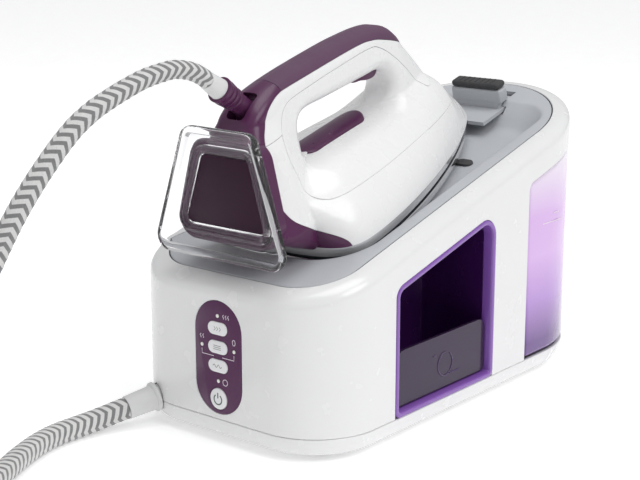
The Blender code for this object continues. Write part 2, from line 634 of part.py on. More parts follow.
def iron_shells():
    """The iron's skin, cut from one form into the pieces it is moulded in."""
    heights = (SHELL_LOW, 10, 16, 22, 28, 35, 42, 49, 56, 64, 72, 80, 88, 95, 101, 106, 110, 113.5,
               116.5, 118.4)
    form_rings = [body_ring(w) for w in heights]
    hollow = [body_ring(SHELL_LOW, 3.0, height=SHELL_LOW - 6)]
    hollow += [body_ring(w, inset) for w, inset in ((SHELL_LOW, 3.0), (16, 3.0), (28, 3.4), (38, 5.0))]
    inside = loft("body_inside", hollow, None, iron_frame, helper=True)
    column = [body_ring(w, 3.6, ahead=-99.0) for w in (33, 50, 64, 78)]
    column += [body_ring(88, 5.0, ahead=-101.0)]
    inside_column = loft("column_inside", column, None, iron_frame, helper=True)
    finger_hole = region("finger_hole", corners_rounded(
        ((-92.5, 55.2), (9, 55.2), (9, 82), (-92.5, 85)), (9, 13, 10, 9), 5))

    rear_line = ((-108, 109.6), (-117, 108), (-127.5, 103.5), (-135, 95.5), (-141.5, 88.5), (-147, 77),
                 (-151.5, 61), (-155, 49), (-154.3, 42.8), (-149.7, 34.3), (-139.4, 25),
                 (-128.4, 16.3), (-121.5, 9), (-119, 0))
    seam_top = ((-125.5, 56), (-127, 66), (-126, 76), (-123.7, 83.2), (-120, 89), (-115, 95),
                (-109, 99.4), (-102, 101.4), (-80, 102.6), (-56, 103.4), (-11, 103.4), (3, 99),
                (18, 86), (32, 69.7), (41, 57), (50, 52), (75, 60), (130, 60))
    seam_low = ((130, 31), (80, 31), (40, 32.3), (0, 33), (-39, 33.8), (-77, 34.6), (-109, 35),
                (-119, 37), (-124, 41), (-125.6, 47))
    grip_line = ((-108, 109.6), (-28, 109.4), (-4, 107.4), (12, 102), (26, 95.4), (41, 87))

    half_gap = GAP / 2 + 0.02
    rear = [(-108.2, 109.8)] + beside(rear_line, -half_gap)[1:]
    rear += [(-119.2, -20), (-200, -20), (-200, 140), (-108.2, 140)]
    saddle = list(seam_top) + list(seam_low)
    top = [(-107.8, 109.8)] + beside(grip_line, half_gap)[1:]
    top += [(90, 87.1), (90, 140), (-107.8, 140)]

    def piece(name, mat, areas, without=()):
        shell = loft(name, form_rings, mat, iron_frame)
        cut(shell, inside)
        cut(shell, inside_column)
        for area in areas:
            keep_within(shell, area)
        for area in without:
            cut(shell, area)
        return shell

    rear_shell = piece("rear_shell", AUBERGINE, [region("rear_area", rear)])
    drum = rod("swivel_room", (-7.7, PIVOT_U, PIVOT_W), (7.7, PIVOT_U, PIVOT_W), 9.0, None,
               iron_frame, sides=28, helper=True)
    cut(rear_shell, drum)
    slot = swivel_slot()
    cut(rear_shell, slot)

    piece("grip_strip", GRIP, [region("grip_area", top)])

    front_area = region("front_area", beside(rear_line, half_gap)
                        + [(-118.8, -20), (200, -20), (200, 140), (-107.8, 140)])
    under_grip = region("under_grip", [(-200, 140), (-200, 109.3), (-108.4, 109.3)]
                        + beside(grip_line, -half_gap)[1:] + [(90, 86.8), (90, 140)])
    saddle_hole = region("saddle_hole", beside(saddle, half_gap, closed=True))
    cover_area = region("cover_area", ((-200, 86.2), (-100, 83.8), (-60, 83), (-20, 50), (200, 50),
                                       (200, 140), (-200, 140)))
    cover = piece("handle_cover", WHITE, [front_area, cover_area], [under_grip, saddle_hole])
    cut(cover, drum)
    cut(cover, slot)
    skirt_area = region("skirt_area", ((-200, 85.8), (-100, 83.4), (-90, 45), (60, 45), (200, 45),
                                       (200, -20), (-200, -20)))
    piece("body_skirt", WHITE, [front_area, skirt_area], [saddle_hole])

    upper = piece("saddle_shell", WHITE, [region("saddle_area", beside(saddle, -half_gap, closed=True))],
                  [finger_hole])
    cut(upper, box("trigger_room", (-6.6, -26, 70), (6.6, 9, 93.5), parent=iron_frame, helper=True))
    cut(upper, box("switch_room", (-6.6, -62, 89), (6.6, -20, 99), parent=iron_frame, helper=True))
    lens_outline = [(x, -57 + u) for x, u in stadium(12.5, 82, 8)]
    lens_hole = [(x, -57 + u) for x, u in stadium(12.5 + GAP, 82 + 2 * GAP, 8)]
    cut(upper, loft("lens_pocket", [[(x, u, w) for x, u in lens_hole] for w in (52.0, 70.0)], None,
                    iron_frame, helper=True))
    loft("indicator_lens", [[(x, u, w) for x, u in lens_outline] for w in (52.3, 55.0)]
         + [[(x * 0.93, -57 + (u + 57) * 0.985, 55.8) for x, u in lens_outline]], AUBERGINE,
         iron_frame)


def swivel_slot():
    """The room in which the collar's neck swings, a rounded slot along the collar's middle line."""
    angle = math.pi - COLLAR_ANGLE - DECK_ANGLE
    along = Vector((0, math.cos(angle), math.sin(angle)))
    across = Vector((0, math.sin(angle), -math.cos(angle)))
    outline = corners_rounded(((-7.9, -11.4), (7.9, -11.4), (7.9, 11.4), (-7.9, 11.4)), (3.5,) * 4, 4)
    pivot = Vector((0, PIVOT_U, PIVOT_W))
    return loft("swivel_slot", [[pivot + along * reach + across * b + Vector((a, 0, 0))
                                 for a, b in outline] for reach in (2, 50)], None, iron_frame,
                helper=True)


def trigger():
    side = ((-22, 80.5), (-4, 78.2), (4.5, 78.4), (7.5, 82), (7.5, 88), (2, 90.5), (-6, 88),
            (-22, 84.5))
    loft("steam_trigger", [[(x, u, w) for u, w in side] for x in (-5.8, 5.8)], AUBERGINE, iron_frame,
         at=(0, 3.5, 86))
    box("trigger_switch", (-5.8, -58, 90.2), (5.8, -36, 97.5), SOFT_BLACK, iron_frame, bevel=0.6)


def heel():
    """The clear stand on the iron's heel, an upright frame round a raised rim, and the plate in it."""
    def frame(top_half, low_half, top_z, low_z, radius, y, inset=0.0):
        corners = ((low_half - inset, low_z + inset), (top_half - inset * 0.7, top_z - inset),
                   (-top_half + inset * 0.7, top_z - inset), (-low_half + inset, low_z + inset))
        size = max(radius - inset, 1.0)
        return [(x, y, z) for x, z in corners_rounded(corners, (size,) * 4)]

    def outer(inset, y):
        return frame(32, 62, 222.5, 132, 11, y, inset)

    def rim(inset, y):
        return frame(25, 42, 207, 149, 9, y, inset)

    rings = [outer(0, -179.5), outer(0, -183.6), outer(1.2, -184.8), outer(4.4, -184.8),
             outer(5.2, -183.6), outer(5.6, -180), rim(-2.5, -176.6), rim(-1, -180.2),
             rim(0.6, -180.8), rim(2.6, -180.4), rim(3.6, -178), rim(4.2, -173.4), rim(1.0, -173.2),
             rim(-3.0, -173.8), outer(5.2, -177.4), outer(2.0, -178.2)]
    loft("heel_stand", [to_iron(ring) for ring in rings], CLEAR, iron_frame, wrap=True)
    plate = [rim(4.6, -173.2), rim(4.6, -175.2), rim(5.6, -176.0)]
    loft("heel_plate", [to_iron(ring) for ring in plate], DARK_PURPLE, iron_frame)


def to_iron(points):
    """World points, in millimetres, in the iron's frame."""
    cos, sin = math.cos(DECK_ANGLE), math.sin(DECK_ANGLE)
    return [(x, y * cos + (z - DECK_Z) * sin, -y * sin + (z - DECK_Z) * cos) for x, y, z in points]


def swivel():
    """The hose's swivel: a hub across the handle's end and a ribbed collar on it."""
    empty = bpy.data.objects.new("swivel_axis", None)
    bpy.data.collections[PARTS].objects.link(empty)
    empty.location = Vector(pivot_world()) * MM
    along = collar_way()
    hub = rod("hose_swivel", (-7, 0, 0), (7, 0, 0), 8.2, AUBERGINE, empty, sides=24)
    fuse(hub, rod("collar_neck", along * 4, along * 19, 6.8, None, empty, sides=20, helper=True))
    for k, (start, end, radius) in enumerate(((18.5, 27, 8.0), (26.5, 36, 8.9))):
        fuse(hub, rod("collar_rib_%d" % k, along * start, along * end, radius, None, empty,
                      end_radius=radius + 0.5, sides=24, helper=True))
    tip = CUFF_END - CUFF_START
    turned("hose_cuff", ((0, tip), (5.4, tip), (6.3, tip - 0.5), (7.4, 0), (0, 0)),
           along * CUFF_START, along, SLEEVE, empty, steps=20)


def pivot_world():
    cos, sin = math.cos(DECK_ANGLE), math.sin(DECK_ANGLE)
    return (0, PIVOT_U * cos - PIVOT_W * sin, DECK_Z + PIVOT_U * sin + PIVOT_W * cos)


def collar_way():
    return Vector((0, -math.cos(COLLAR_ANGLE), math.sin(COLLAR_ANGLE)))


def hose():
    tube("hose_lower", LOWER_ROUTE, LOWER_HOSE_RADIUS, HOSE_GREY, dense=24)
    tube("hose_upper", UPPER_ROUTE, UPPER_HOSE_RADIUS, HOSE_GREY, dense=24)
    inner, outer = COIL_RADIUS - 8, COIL_RADIUS + 8
    turned("hose_coil", ((inner, 31), (outer, 31), (outer, 0.2), (inner, 0.2), (inner, 31)),
           (*COIL_CENTRE, 0), (0, 0, 1), HOSE_GREY, steps=40)


# ---------------------------------------------------------------- build
clear_scene()
collection(PARTS)
collection("cutters", hidden=True)

WHITE = material("gloss_white", (0.86, 0.86, 0.87), 0.25)
BUTTON_WHITE = material("button_white", (0.82, 0.82, 0.83), 0.35)
DECK_GREY = material("deck_grey", (0.45, 0.5, 0.53), 0.5)
GREY = material("grey_plastic", (0.5, 0.52, 0.54), 0.5)
AUBERGINE = material("aubergine", (0.12, 0.045, 0.12), 0.3)
DARK_PURPLE = material("dark_purple", (0.04, 0.02, 0.04), 0.3)
GRIP = material("soft_grip", (0.15, 0.08, 0.15), 0.7)
VIOLET = material("violet_clear", (0.25, 0.1, 0.45), 0.2, clear=0.4)
TANK_VIOLET = material("tank_violet", (0.6, 0.42, 0.8), 0.1, clear=0.7)
SMOKE = material("smoke_clear", (0.2, 0.14, 0.26), 0.1, clear=0.6)
CLEAR = material("clear_plastic", (0.92, 0.92, 0.92), 0.05, clear=0.95)
SOFT_BLACK = material("soft_black", (0.05, 0.05, 0.05), 0.8)
RUBBER = material("rubber", (0.06, 0.06, 0.06), 0.9)
SLEEVE = material("sleeve_grey", (0.62, 0.62, 0.62), 0.5)
HOSE_GREY = material("hose_fabric", (0.45, 0.45, 0.46), 0.9)
SOLE_METAL = material("sole_metal", (0.7, 0.7, 0.72), 0.2, 1.0)
SHIELD_GREY = material("shield_grey", (0.55, 0.55, 0.56), 0.3)
CAST_METAL = material("cast_metal", (0.6, 0.6, 0.6), 0.5, 1.0)
STEEL = material("steel", (0.65, 0.65, 0.67), 0.3, 1.0)
DARK_METAL = material("dark_metal", (0.2, 0.2, 0.2), 0.5, 1.0)
BRASS = material("brass", (0.7, 0.55, 0.25), 0.35, 1.0)
SILICONE = material("silicone", (0.75, 0.75, 0.72), 0.6)
BOARD = material("circuit_board", (0.05, 0.25, 0.1), 0.5)
LAMP = material("lamp", (0.85, 0.85, 0.8), 0.2)

iron_frame = bpy.data.objects.new("iron_frame", None)
bpy.data.collections[PARTS].objects.link(iron_frame)
iron_frame.location = (0, 0, DECK_Z * MM)
iron_frame.rotation_euler = (DECK_ANGLE, 0, 0)

BOOT_HOLE = rod("boot_hole", Vector(BOOT_AT) - Vector(BOOT_AXIS) * 14,
                Vector(BOOT_AT) + Vector(BOOT_AXIS) * 10, 9.4, helper=True, sides=20)
MAINS_HOLE = rod("mains_hole", (-110, -84, 34), (-80, -84, 34), 6.6, helper=True, sides=20)

base_tray()
feet()
housing_shell()
bulkhead()
rest_deck()
rest_pads()
lock()
storage_pocket()
control_panel()
water_tank()
valve_seat()
works()
hose_boot()
mains_gland()
soleplate()
iron_shells()
trigger()
heel()
swivel()
hose()
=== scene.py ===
"""The looks of a steam generator iron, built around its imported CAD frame.

Lengths are in millimetres and MM turns them into metres. The iron's skin is read from a smooth form in
the iron's own frame (x, u, w), where u runs up the sloping deck and w stands square to it.
"""

import json
import math

import bmesh
import bpy
import numpy as np
from mathutils import Matrix, Vector

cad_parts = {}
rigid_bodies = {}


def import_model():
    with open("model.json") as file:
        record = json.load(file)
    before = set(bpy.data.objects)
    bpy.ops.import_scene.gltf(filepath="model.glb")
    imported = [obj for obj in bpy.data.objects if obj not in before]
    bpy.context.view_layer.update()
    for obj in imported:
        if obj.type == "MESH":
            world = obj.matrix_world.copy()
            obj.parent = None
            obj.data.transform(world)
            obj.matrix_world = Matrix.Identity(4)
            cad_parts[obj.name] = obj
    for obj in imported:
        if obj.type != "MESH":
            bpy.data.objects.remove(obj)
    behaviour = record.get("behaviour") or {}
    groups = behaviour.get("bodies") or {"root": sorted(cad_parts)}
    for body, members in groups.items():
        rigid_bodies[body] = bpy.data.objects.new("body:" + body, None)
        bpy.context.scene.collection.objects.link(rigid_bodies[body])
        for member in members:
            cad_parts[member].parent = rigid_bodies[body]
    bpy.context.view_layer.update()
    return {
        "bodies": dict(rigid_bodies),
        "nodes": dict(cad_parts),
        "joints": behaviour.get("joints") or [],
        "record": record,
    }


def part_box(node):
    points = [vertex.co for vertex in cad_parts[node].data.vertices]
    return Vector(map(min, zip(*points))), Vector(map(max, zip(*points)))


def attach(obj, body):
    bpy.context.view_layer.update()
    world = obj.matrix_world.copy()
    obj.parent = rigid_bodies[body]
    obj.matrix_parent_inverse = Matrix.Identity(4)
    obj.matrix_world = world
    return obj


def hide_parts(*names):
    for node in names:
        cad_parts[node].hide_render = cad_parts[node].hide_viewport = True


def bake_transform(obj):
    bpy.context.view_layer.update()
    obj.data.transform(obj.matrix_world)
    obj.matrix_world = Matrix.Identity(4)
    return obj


MM = 0.001

# Camera
TARGET = (-36.5, -29.8, 111.9)
AZIMUTH = 39.283
ELEVATION = 13.766
DISTANCE = 1152.9
FOCAL_LENGTH = 83.57

# Studio: world colour and strength, floor, and each lamp's kind, place in metres, width and power
WORLD_COLOUR = (0.98, 0.985, 1.0, 1)
WORLD_STRENGTH = 0.45
FLOOR_SIZE = 6000
FLOOR_GLOW = 0.27
LAMPS_ABOVE = (("key", "SUN", (2.0, 0.1, 2.1), math.radians(35), 1.1),
               ("front", "AREA", (-0.9, -2.0, 1.3), 2.0, 3.5),
               ("top", "AREA", (0.1, 0.0, 2.2), 1.2, 16.0))

# Base station, as in the CAD source
BASE_HALF = 96.0
BASE_END = 185.0
FRONT_RADIUS = 52.0
REAR_RADIUS = 93.0
SPLIT_Z = 18.0
WALL = 2.6
GAP = 0.3
DECK_Z = 167.7
DECK_ANGLE = math.radians(15.74)
RIM_INSET = 13.8
BAY_Y = 60.0
BAY_DROP = 26.0
PAN_DEPTH = 15.5
POCKET_FRONT = -109.0
POCKET_BACK = 14.0
POCKET_FLOOR = 18.6
POCKET_TOP = 141.9
POCKET_SLOPE = 0.2677
POCKET_IN_X = 34.0
FENCE_TOP = 65.0
TANK_GAP = 0.5
TANK_WALL = 3.0
# Tank colour by height: painted shade towards the foot and a painted highlight band across the middle,
# over the plastic's own violet tint
TANK_PAINTED_SHADES = ((0.0, (0.14, 0.055, 0.26)), (0.22, (0.28, 0.14, 0.44)), (0.45, (0.75, 0.49, 0.87)),
              (0.65, (0.75, 0.49, 0.87)), (1.0, (0.50, 0.29, 0.70)))
PANEL_Z = 63.3
PANEL_HALF = 21.5
PANEL_HEIGHT = 81.7
PANEL_Y = -185.6
BUTTONS = {"button_turbo": 84.5, "button_mode": 71.0, "button_clean": 57.5}
POWER_Z = 33.5
LAMPS = {"lamp_turbo": (0.0, 93.5), "lamp_left": (-15.0, 70.5),
         "lamp_right": (15.0, 70.5), "lamp_clean": (0.0, 46.5)}

# Iron, as in the CAD source
SOLE_HALF = 66.0
SOLE_WIDE_U = -94.0
SOLE_TIP_U = 112.0
SOLE_BACK_U = -132.0
SOLE_LOW = -13.0
SOLE_TOP = -6.0
SHELL_LOW = 5.0
BAR_MID = 101.0
BAR_HALF = 16.0
BAR_RISE = 17.6
NOSE = ((2, 110), (8, 108), (14, 103.5), (23, 96), (30.5, 88), (39, 80), (48.5, 72), (55.5, 66.5),
        (70, 56.5), (83, 46.4), (90, 40.3), (99.5, 33), (106, 25), (110.5, 18), (113.5, 10.4),
        (116, 0), (117.5, -8), (118.6, -20))
BACK = ((2, -131), (8, -140), (15, -152), (22, -162), (28, -168), (40, -167), (60, -162),
        (78, -157.5), (88, -153.5), (94, -150.5), (100, -146), (105, -140), (109.5, -132.5),
        (113.5, -123.5), (116.5, -113.5), (118, -104), (118.6, -95))
CREST = ((-170, 36), (-131, 44), (-94, 54), (-60, 55.5), (-10, 55), (20, 58), (45, 60), (66.5, 55.5),
         (72, 48.5), (80, 39), (88, 30.5), (96, 23), (104.5, 14), (110, 5))
PIVOT_U = -127.0
PIVOT_W = 100.3
COLLAR_ANGLE = math.radians(32.0)

# Seams of the iron's skin, as (u, w) points
REAR_LINE = ((-108, 109.6), (-117, 108), (-127.5, 103.5), (-135, 95.5), (-141.5, 88.5), (-147, 77),
             (-151.5, 61), (-155, 49), (-154.3, 42.8), (-149.7, 34.3), (-139.4, 25), (-128.4, 16.3),
             (-121.5, 9), (-119, 0))
SEAM_TOP = ((-125.5, 56), (-127, 66), (-126, 76), (-123.7, 83.2), (-120, 89), (-115, 95),
            (-109, 99.4), (-102, 101.4), (-80, 102.6), (-56, 103.4), (-11, 103.4), (3, 99), (18, 86),
            (32, 69.7), (41, 57), (50, 52), (75, 60), (130, 60))
SEAM_LOW = ((130, 31), (80, 31), (40, 32.3), (0, 33), (-39, 33.8), (-77, 34.6), (-109, 35),
            (-119, 37), (-124, 41), (-125.6, 47))
GRIP_LINE = ((-108, 109.6), (-28, 109.4), (-4, 107.4), (12, 102), (26, 95.4), (41, 87))
FINGER_HOLE = ((-95, 56.5), (-72, 55.2), (-38, 54.4), (-13, 53.6), (1, 55), (10, 60), (13.5, 67),
               (10, 76.5), (1.5, 81.6), (-19, 82.8), (-60, 84.8), (-85, 86), (-94, 81.5), (-97, 69))
HOLE_ROUND = 10.0
LENS_SPAN = (-91.5, -17.0)
LENS_HALF = 12.5
LENS_TOP = 56.6
LENS_BOW = 0.022
LENS_LENGTH = LENS_SPAN[1] - LENS_SPAN[0]
LENS_MIDDLE = (LENS_SPAN[0] + LENS_SPAN[1]) / 2
FORM_STEP = 1.3
SEAM_STEP = 1.5

# Steam hose
HOSE_WIDTHS = ((0, 8.1), (110, 8.1), (240, 7.5), (420, 7.3), (1230, 7.3), (1430, 6.95), (1520, 6.5),
               (1640, 6.0))
BRAID_PITCH = 6.3
BRAID_STARTS = 6.0
BRAID_SLANT = 0.72
COIL_CENTRE = (-110.0, -435.0)
COIL_RADIUS = 90.0
COIL_FROM = 8.0
COIL_TO = 118.0 - 720.0
COIL_LEVELS = (7.9, 23.2)
COIL_STEPS = 44
COIL_RISE_FROM = 0.47
COIL_RISE_OVER = 0.16
BOOT_AT = (-66.4, -179.8, 19.3)
BOOT_AXIS = (-0.34, -0.92, -0.2)
CUFF_START = 36.3
CUFF_END = 49.5
LOWER_ROUTE = ((-75.05, -203.2, 14.2), (-78, -211.3, 12.5), (-82.5, -226, 9.8), (-85.5, -243, 8.4),
               (-85.4, -262, 8.3), (-80, -284, 8.3), (-71, -306, 8.3), (-61, -326, 8.3),
               (-50, -348.2, 8.3))
INTO_COIL = ((-38, -371, 8.1), (-26.5, -398, 7.9))
UPPER_ROUTE = ((0, -191.75, 256.23), (0, -198, 260.1), (0, -208, 263.9), (-1, -220, 265.9),
               (-1.4, -231, 265.1), (-2.5, -246, 262.4), (-4, -262, 257.1), (-5.4, -274, 252.2),
               (-7, -286.5, 246.2), (-10, -301, 235.5), (-15, -319, 215), (-22, -336, 189),
               (-31, -349, 159), (-43, -357.5, 127), (-57, -360.5, 96), (-74, -358, 68),
               (-90, -353, 48), (-102.4, -349, 35.9))


# ---------------------------------------------------------------- shape helpers
def mesh_from(points, faces):
    """A mesh from points in millimetres, its faces turned outwards."""
    mesh = bpy.data.meshes.new("mesh")
    mesh.from_pydata([tuple(p) for p in np.asarray(points, float) * MM], [], faces)
    bm = bmesh.new()
    bm.from_mesh(mesh)
    bmesh.ops.recalc_face_normals(bm, faces=bm.faces)
    bm.to_mesh(mesh)
    bm.free()
    return mesh


def show(name, mesh, mat, body, stands_for=(), sharp=32.0):
    """The mesh as a piece that rides on a body, shaded smooth up to an angle."""
    obj = bpy.data.objects.new(name, mesh)
    bpy.context.scene.collection.objects.link(obj)
    mesh.materials.clear()
    mesh.materials.append(mat)
    mesh.shade_smooth()
    mesh.set_sharp_from_angle(angle=math.radians(sharp))
    if body:
        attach(obj, body)
    if stands_for:
        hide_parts(*stands_for)
    return obj


def helper(mesh):
    """A mesh in the scene that is not a piece: the floor, or a tool that is removed after use."""
    obj = bpy.data.objects.new("helper", mesh)
    bpy.context.scene.collection.objects.link(obj)
    return obj


def carved(mesh, cutters, joined=(), within=()):
    """The mesh after exact booleans with the helper meshes, as a new mesh."""
    obj = helper(mesh)
    tools = []
    for kind, meshes in (("UNION", joined), ("INTERSECT", within), ("DIFFERENCE", cutters)):
        for tool_mesh in meshes:
            tool = helper(tool_mesh)
            tools.append(tool)
            modifier = obj.modifiers.new("cut", "BOOLEAN")
            modifier.operation = kind
            modifier.solver = "EXACT"
            modifier.object = tool
    graph = bpy.context.evaluated_depsgraph_get()
    made = bpy.data.meshes.new_from_object(obj.evaluated_get(graph))
    for tool in [obj, *tools]:
        bpy.data.objects.remove(tool, do_unlink=True)
    return made


def loft(rings, wrap=False):
    """A solid through rings of equally many points, capped at its ends or closed on itself."""
    rings = np.asarray(rings, float)
    rows, count = rings.shape[:2]
    index = np.arange(rows * count).reshape(rows, count)
    faces = []
    spans = list(zip(index, index[1:]))
    if wrap:
        spans.append((index[-1], index[0]))
    else:
        faces += [list(index[0]), list(index[-1][::-1])]
    for low, high in spans:
        for i in range(count):
            j = (i + 1) % count
            faces.append((low[i], low[j], high[j], high[i]))
    return mesh_from(rings.reshape(-1, 3), faces)


def lathe(profile, start, axis, steps=48):
    """A solid turned from (radius, height) points, foot first."""
    turn = Vector(axis).to_track_quat("Z", "Y").to_matrix()
    start = Vector(start)
    closed = profile[0][0] > 1e-6
    points = []
    rings = []
    for radius, height in profile:
        if radius < 1e-6:
            rings.append([len(points)])
            points.append(start + turn @ Vector((0, 0, height)))
            continue
        rings.append(list(range(len(points), len(points) + steps)))
        for k in range(steps):
            a = 2 * math.pi * k / steps
            points.append(start + turn @ Vector((radius * math.cos(a), radius * math.sin(a), height)))
    faces = []
    spans = list(zip(rings, rings[1:]))
    if closed:
        spans.append((rings[-1], rings[0]))
    for low, high in spans:
        for k in range(steps):
            j = (k + 1) % steps
            if len(low) == 1:
                faces.append((low[0], high[j], high[k]))
            elif len(high) == 1:
                faces.append((low[k], low[j], high[0]))
            else:
                faces.append((low[k], low[j], high[j], high[k]))
    return mesh_from(points, faces)


def prism(outline, low, high, place):
    """A solid between two copies of an outline: place turns (a, b, depth) into a point."""
    return loft([[place(a, b, depth) for a, b in outline] for depth in (low, high)])


def arc(centre, radius, start, end, steps):
    """Points on an arc, its angles in degrees."""
    return [(centre[0] + radius * math.cos(math.radians(start + (end - start) * k / steps)),
             centre[1] + radius * math.sin(math.radians(start + (end - start) * k / steps)))
            for k in range(steps + 1)]


def span(a, b, c, d, step):
    """Points about step apart from b up to c, on a Catmull-Rom curve past a and d."""
    count = max(1, round((c - b).length / step))
    return [0.5 * (2 * b + (c - a) * t + (2 * a - 5 * b + 4 * c - d) * t * t
                   + (3 * b - a - 3 * c + d) * t ** 3) for t in (k / count for k in range(count))]


def smooth_line(route, step):
    """An open smooth curve through the route."""
    points = [Vector(p) for p in route]
    padded = [2 * points[0] - points[1], *points, 2 * points[-1] - points[-2]]
    line = []
    for near in zip(padded, padded[1:], padded[2:], padded[3:]):
        line += span(*near, step)
    return line + [points[-1]]


def smooth_ring(corners, step):
    """A closed smooth curve through the corners."""
    points = [Vector(p) for p in corners]
    count = len(points)
    line = []
    for i in range(count):
        line += span(*(points[(i + k) % count] for k in (-1, 0, 1, 2)), step)
    return [tuple(p) for p in line]


def rounded(half, front, back, front_radius, back_radius, steps):
    """A rectangle seen from above, with one radius at its front and another at its back."""
    return (arc((half - front_radius, front + front_radius), front_radius, -90, 0, steps[0])
            + arc((half - back_radius, back - back_radius), back_radius, 0, 90, steps[1])
            + arc((-half + back_radius, back - back_radius), back_radius, 90, 180, steps[1])
            + arc((-half + front_radius, front + front_radius), front_radius, 180, 270, steps[0]))


def footprint(inset, steps=(22, 34)):
    """The base's outline from above, drawn in by an inset."""
    return rounded(BASE_HALF - inset, -BASE_END + inset, BASE_END - inset,
                   FRONT_RADIUS - inset, REAR_RADIUS - inset, steps)


def deck_height(y):
    return DECK_Z + math.tan(DECK_ANGLE) * y


def level(outline, z):
    return [(x, y, z) for x, y in outline]


def below_deck(outline, drop):
    return [(x, y, deck_height(y) - drop) for x, y in outline]


def stadium(half_width, height, steps=20):
    """An upright slot's outline, round at both ends."""
    rise = height / 2 - half_width
    return (arc((0, rise), half_width, 0, 180, steps) + arc((0, -rise), half_width, 180, 360, steps))


def lying(outline):
    """The outline turned by a quarter."""
    return [(b, -a) for a, b in outline]


def corners_rounded(corners, radii, steps=10):
    """The polygon with each corner replaced by an arc of its own radius."""
    points = []
    count = len(corners)
    for i, radius in enumerate(radii):
        here = Vector(corners[i])
        before = (Vector(corners[i - 1]) - here).normalized()
        after = (Vector(corners[(i + 1) % count]) - here).normalized()
        half = before.angle(after) / 2
        start, end = here + before * (radius / math.tan(half)), here + after * (radius / math.tan(half))
        centre = here + (before + after).normalized() * (radius / math.sin(half))
        a, b = start - centre, end - centre
        angle = a.angle(b)
        for k in range(steps + 1):
            t = k / steps
            way = (a * math.sin((1 - t) * angle) + b * math.sin(t * angle)) / math.sin(angle)
            points.append(tuple(centre + way))
    return points


def iron_to_world(points):
    """Points (x, u, w) in the iron's frame as points in the scene."""
    points = np.asarray(points, float)
    cos, sin = math.cos(DECK_ANGLE), math.sin(DECK_ANGLE)
    x, u, w = points[..., 0], points[..., 1], points[..., 2]
    return np.stack([x, u * cos - w * sin, DECK_Z + u * sin + w * cos], axis=-1)


def along_points(route):
    """Arc length at each point of a route."""
    steps = [0.0] + [(b - a).length for a, b in zip(route, route[1:])]
    return np.cumsum(steps)


def sweep(route, radius_at, sides):
    """A capped tube along the route with a UV map: v is the turn, u the length in metres."""
    route = [Vector(p) for p in route]
    tangents = [(b - a).normalized() for a, b in zip(route, route[1:])]
    tangents = [tangents[0]] + [(a + b).normalized() for a, b in zip(tangents, tangents[1:])] \
        + [tangents[-1]]
    normal = tangents[0].orthogonal().normalized()
    lengths = along_points(route)
    points, faces = [], []
    for place, tangent, run in zip(route, tangents, lengths):
        normal = (normal - tangent * normal.dot(tangent)).normalized()
        side = tangent.cross(normal)
        for k in range(sides):
            a = 2 * math.pi * k / sides
            radius = radius_at(run, a)
            points.append(place + (normal * math.cos(a) + side * math.sin(a)) * radius)
    count = len(route)
    for i in range(count - 1):
        for k in range(sides):
            j = (k + 1) % sides
            faces.append((i * sides + k, i * sides + j, (i + 1) * sides + j, (i + 1) * sides + k))
    faces.append(list(range(sides))[::-1])
    faces.append([(count - 1) * sides + k for k in range(sides)])
    mesh = bpy.data.meshes.new("tube")
    mesh.from_pydata([tuple(p * MM) for p in points], [], faces)
    layer = mesh.uv_layers.new(name="run")
    for face in mesh.polygons:
        for loop in face.loop_indices:
            vertex = mesh.loops[loop].vertex_index
            turn = (vertex % sides) / sides
            if face.index < len(faces) - 2 and face.index % sides == sides - 1 and turn < 0.01:
                turn = 1.0
            layer.data[loop].uv = (lengths[vertex // sides] * MM, turn)
    return mesh


# ---------------------------------------------------------------- materials
def shader_of(name):
    mat = bpy.data.materials.new(name)
    mat.use_nodes = True
    tree = mat.node_tree
    return mat, tree, tree.nodes["Principled BSDF"]


def noise(tree, scale, detail=3.0):
    where = tree.nodes.new("ShaderNodeTexCoord")
    node = tree.nodes.new("ShaderNodeTexNoise")
    node.inputs["Scale"].default_value = scale
    node.inputs["Detail"].default_value = detail
    tree.links.new(where.outputs["Object"], node.inputs["Vector"])
    return node.outputs["Fac"]


def spread(tree, value, low, high, start=0.3, end=0.7):
    """A value that runs from start to end, stretched to run from low to high."""
    node = tree.nodes.new("ShaderNodeMapRange")
    node.inputs["From Min"].default_value = start
    node.inputs["From Max"].default_value = end
    node.inputs["To Min"].default_value = low
    node.inputs["To Max"].default_value = high
    tree.links.new(value, node.inputs["Value"])
    return node.outputs["Result"]


def shades(tree, value, first, second):
    """A colour between two, by a value from 0 to 1."""
    node = tree.nodes.new("ShaderNodeMix")
    node.data_type = "RGBA"
    node.inputs["A"].default_value = (*first, 1)
    node.inputs["B"].default_value = (*second, 1)
    tree.links.new(value, node.inputs["Factor"])
    return node.outputs["Result"]


def bumped(tree, shader, height, strength, distance):
    node = tree.nodes.new("ShaderNodeBump")
    node.inputs["Strength"].default_value = strength
    node.inputs["Distance"].default_value = distance
    tree.links.new(height, node.inputs["Height"])
    tree.links.new(node.outputs["Normal"], shader.inputs["Normal"])


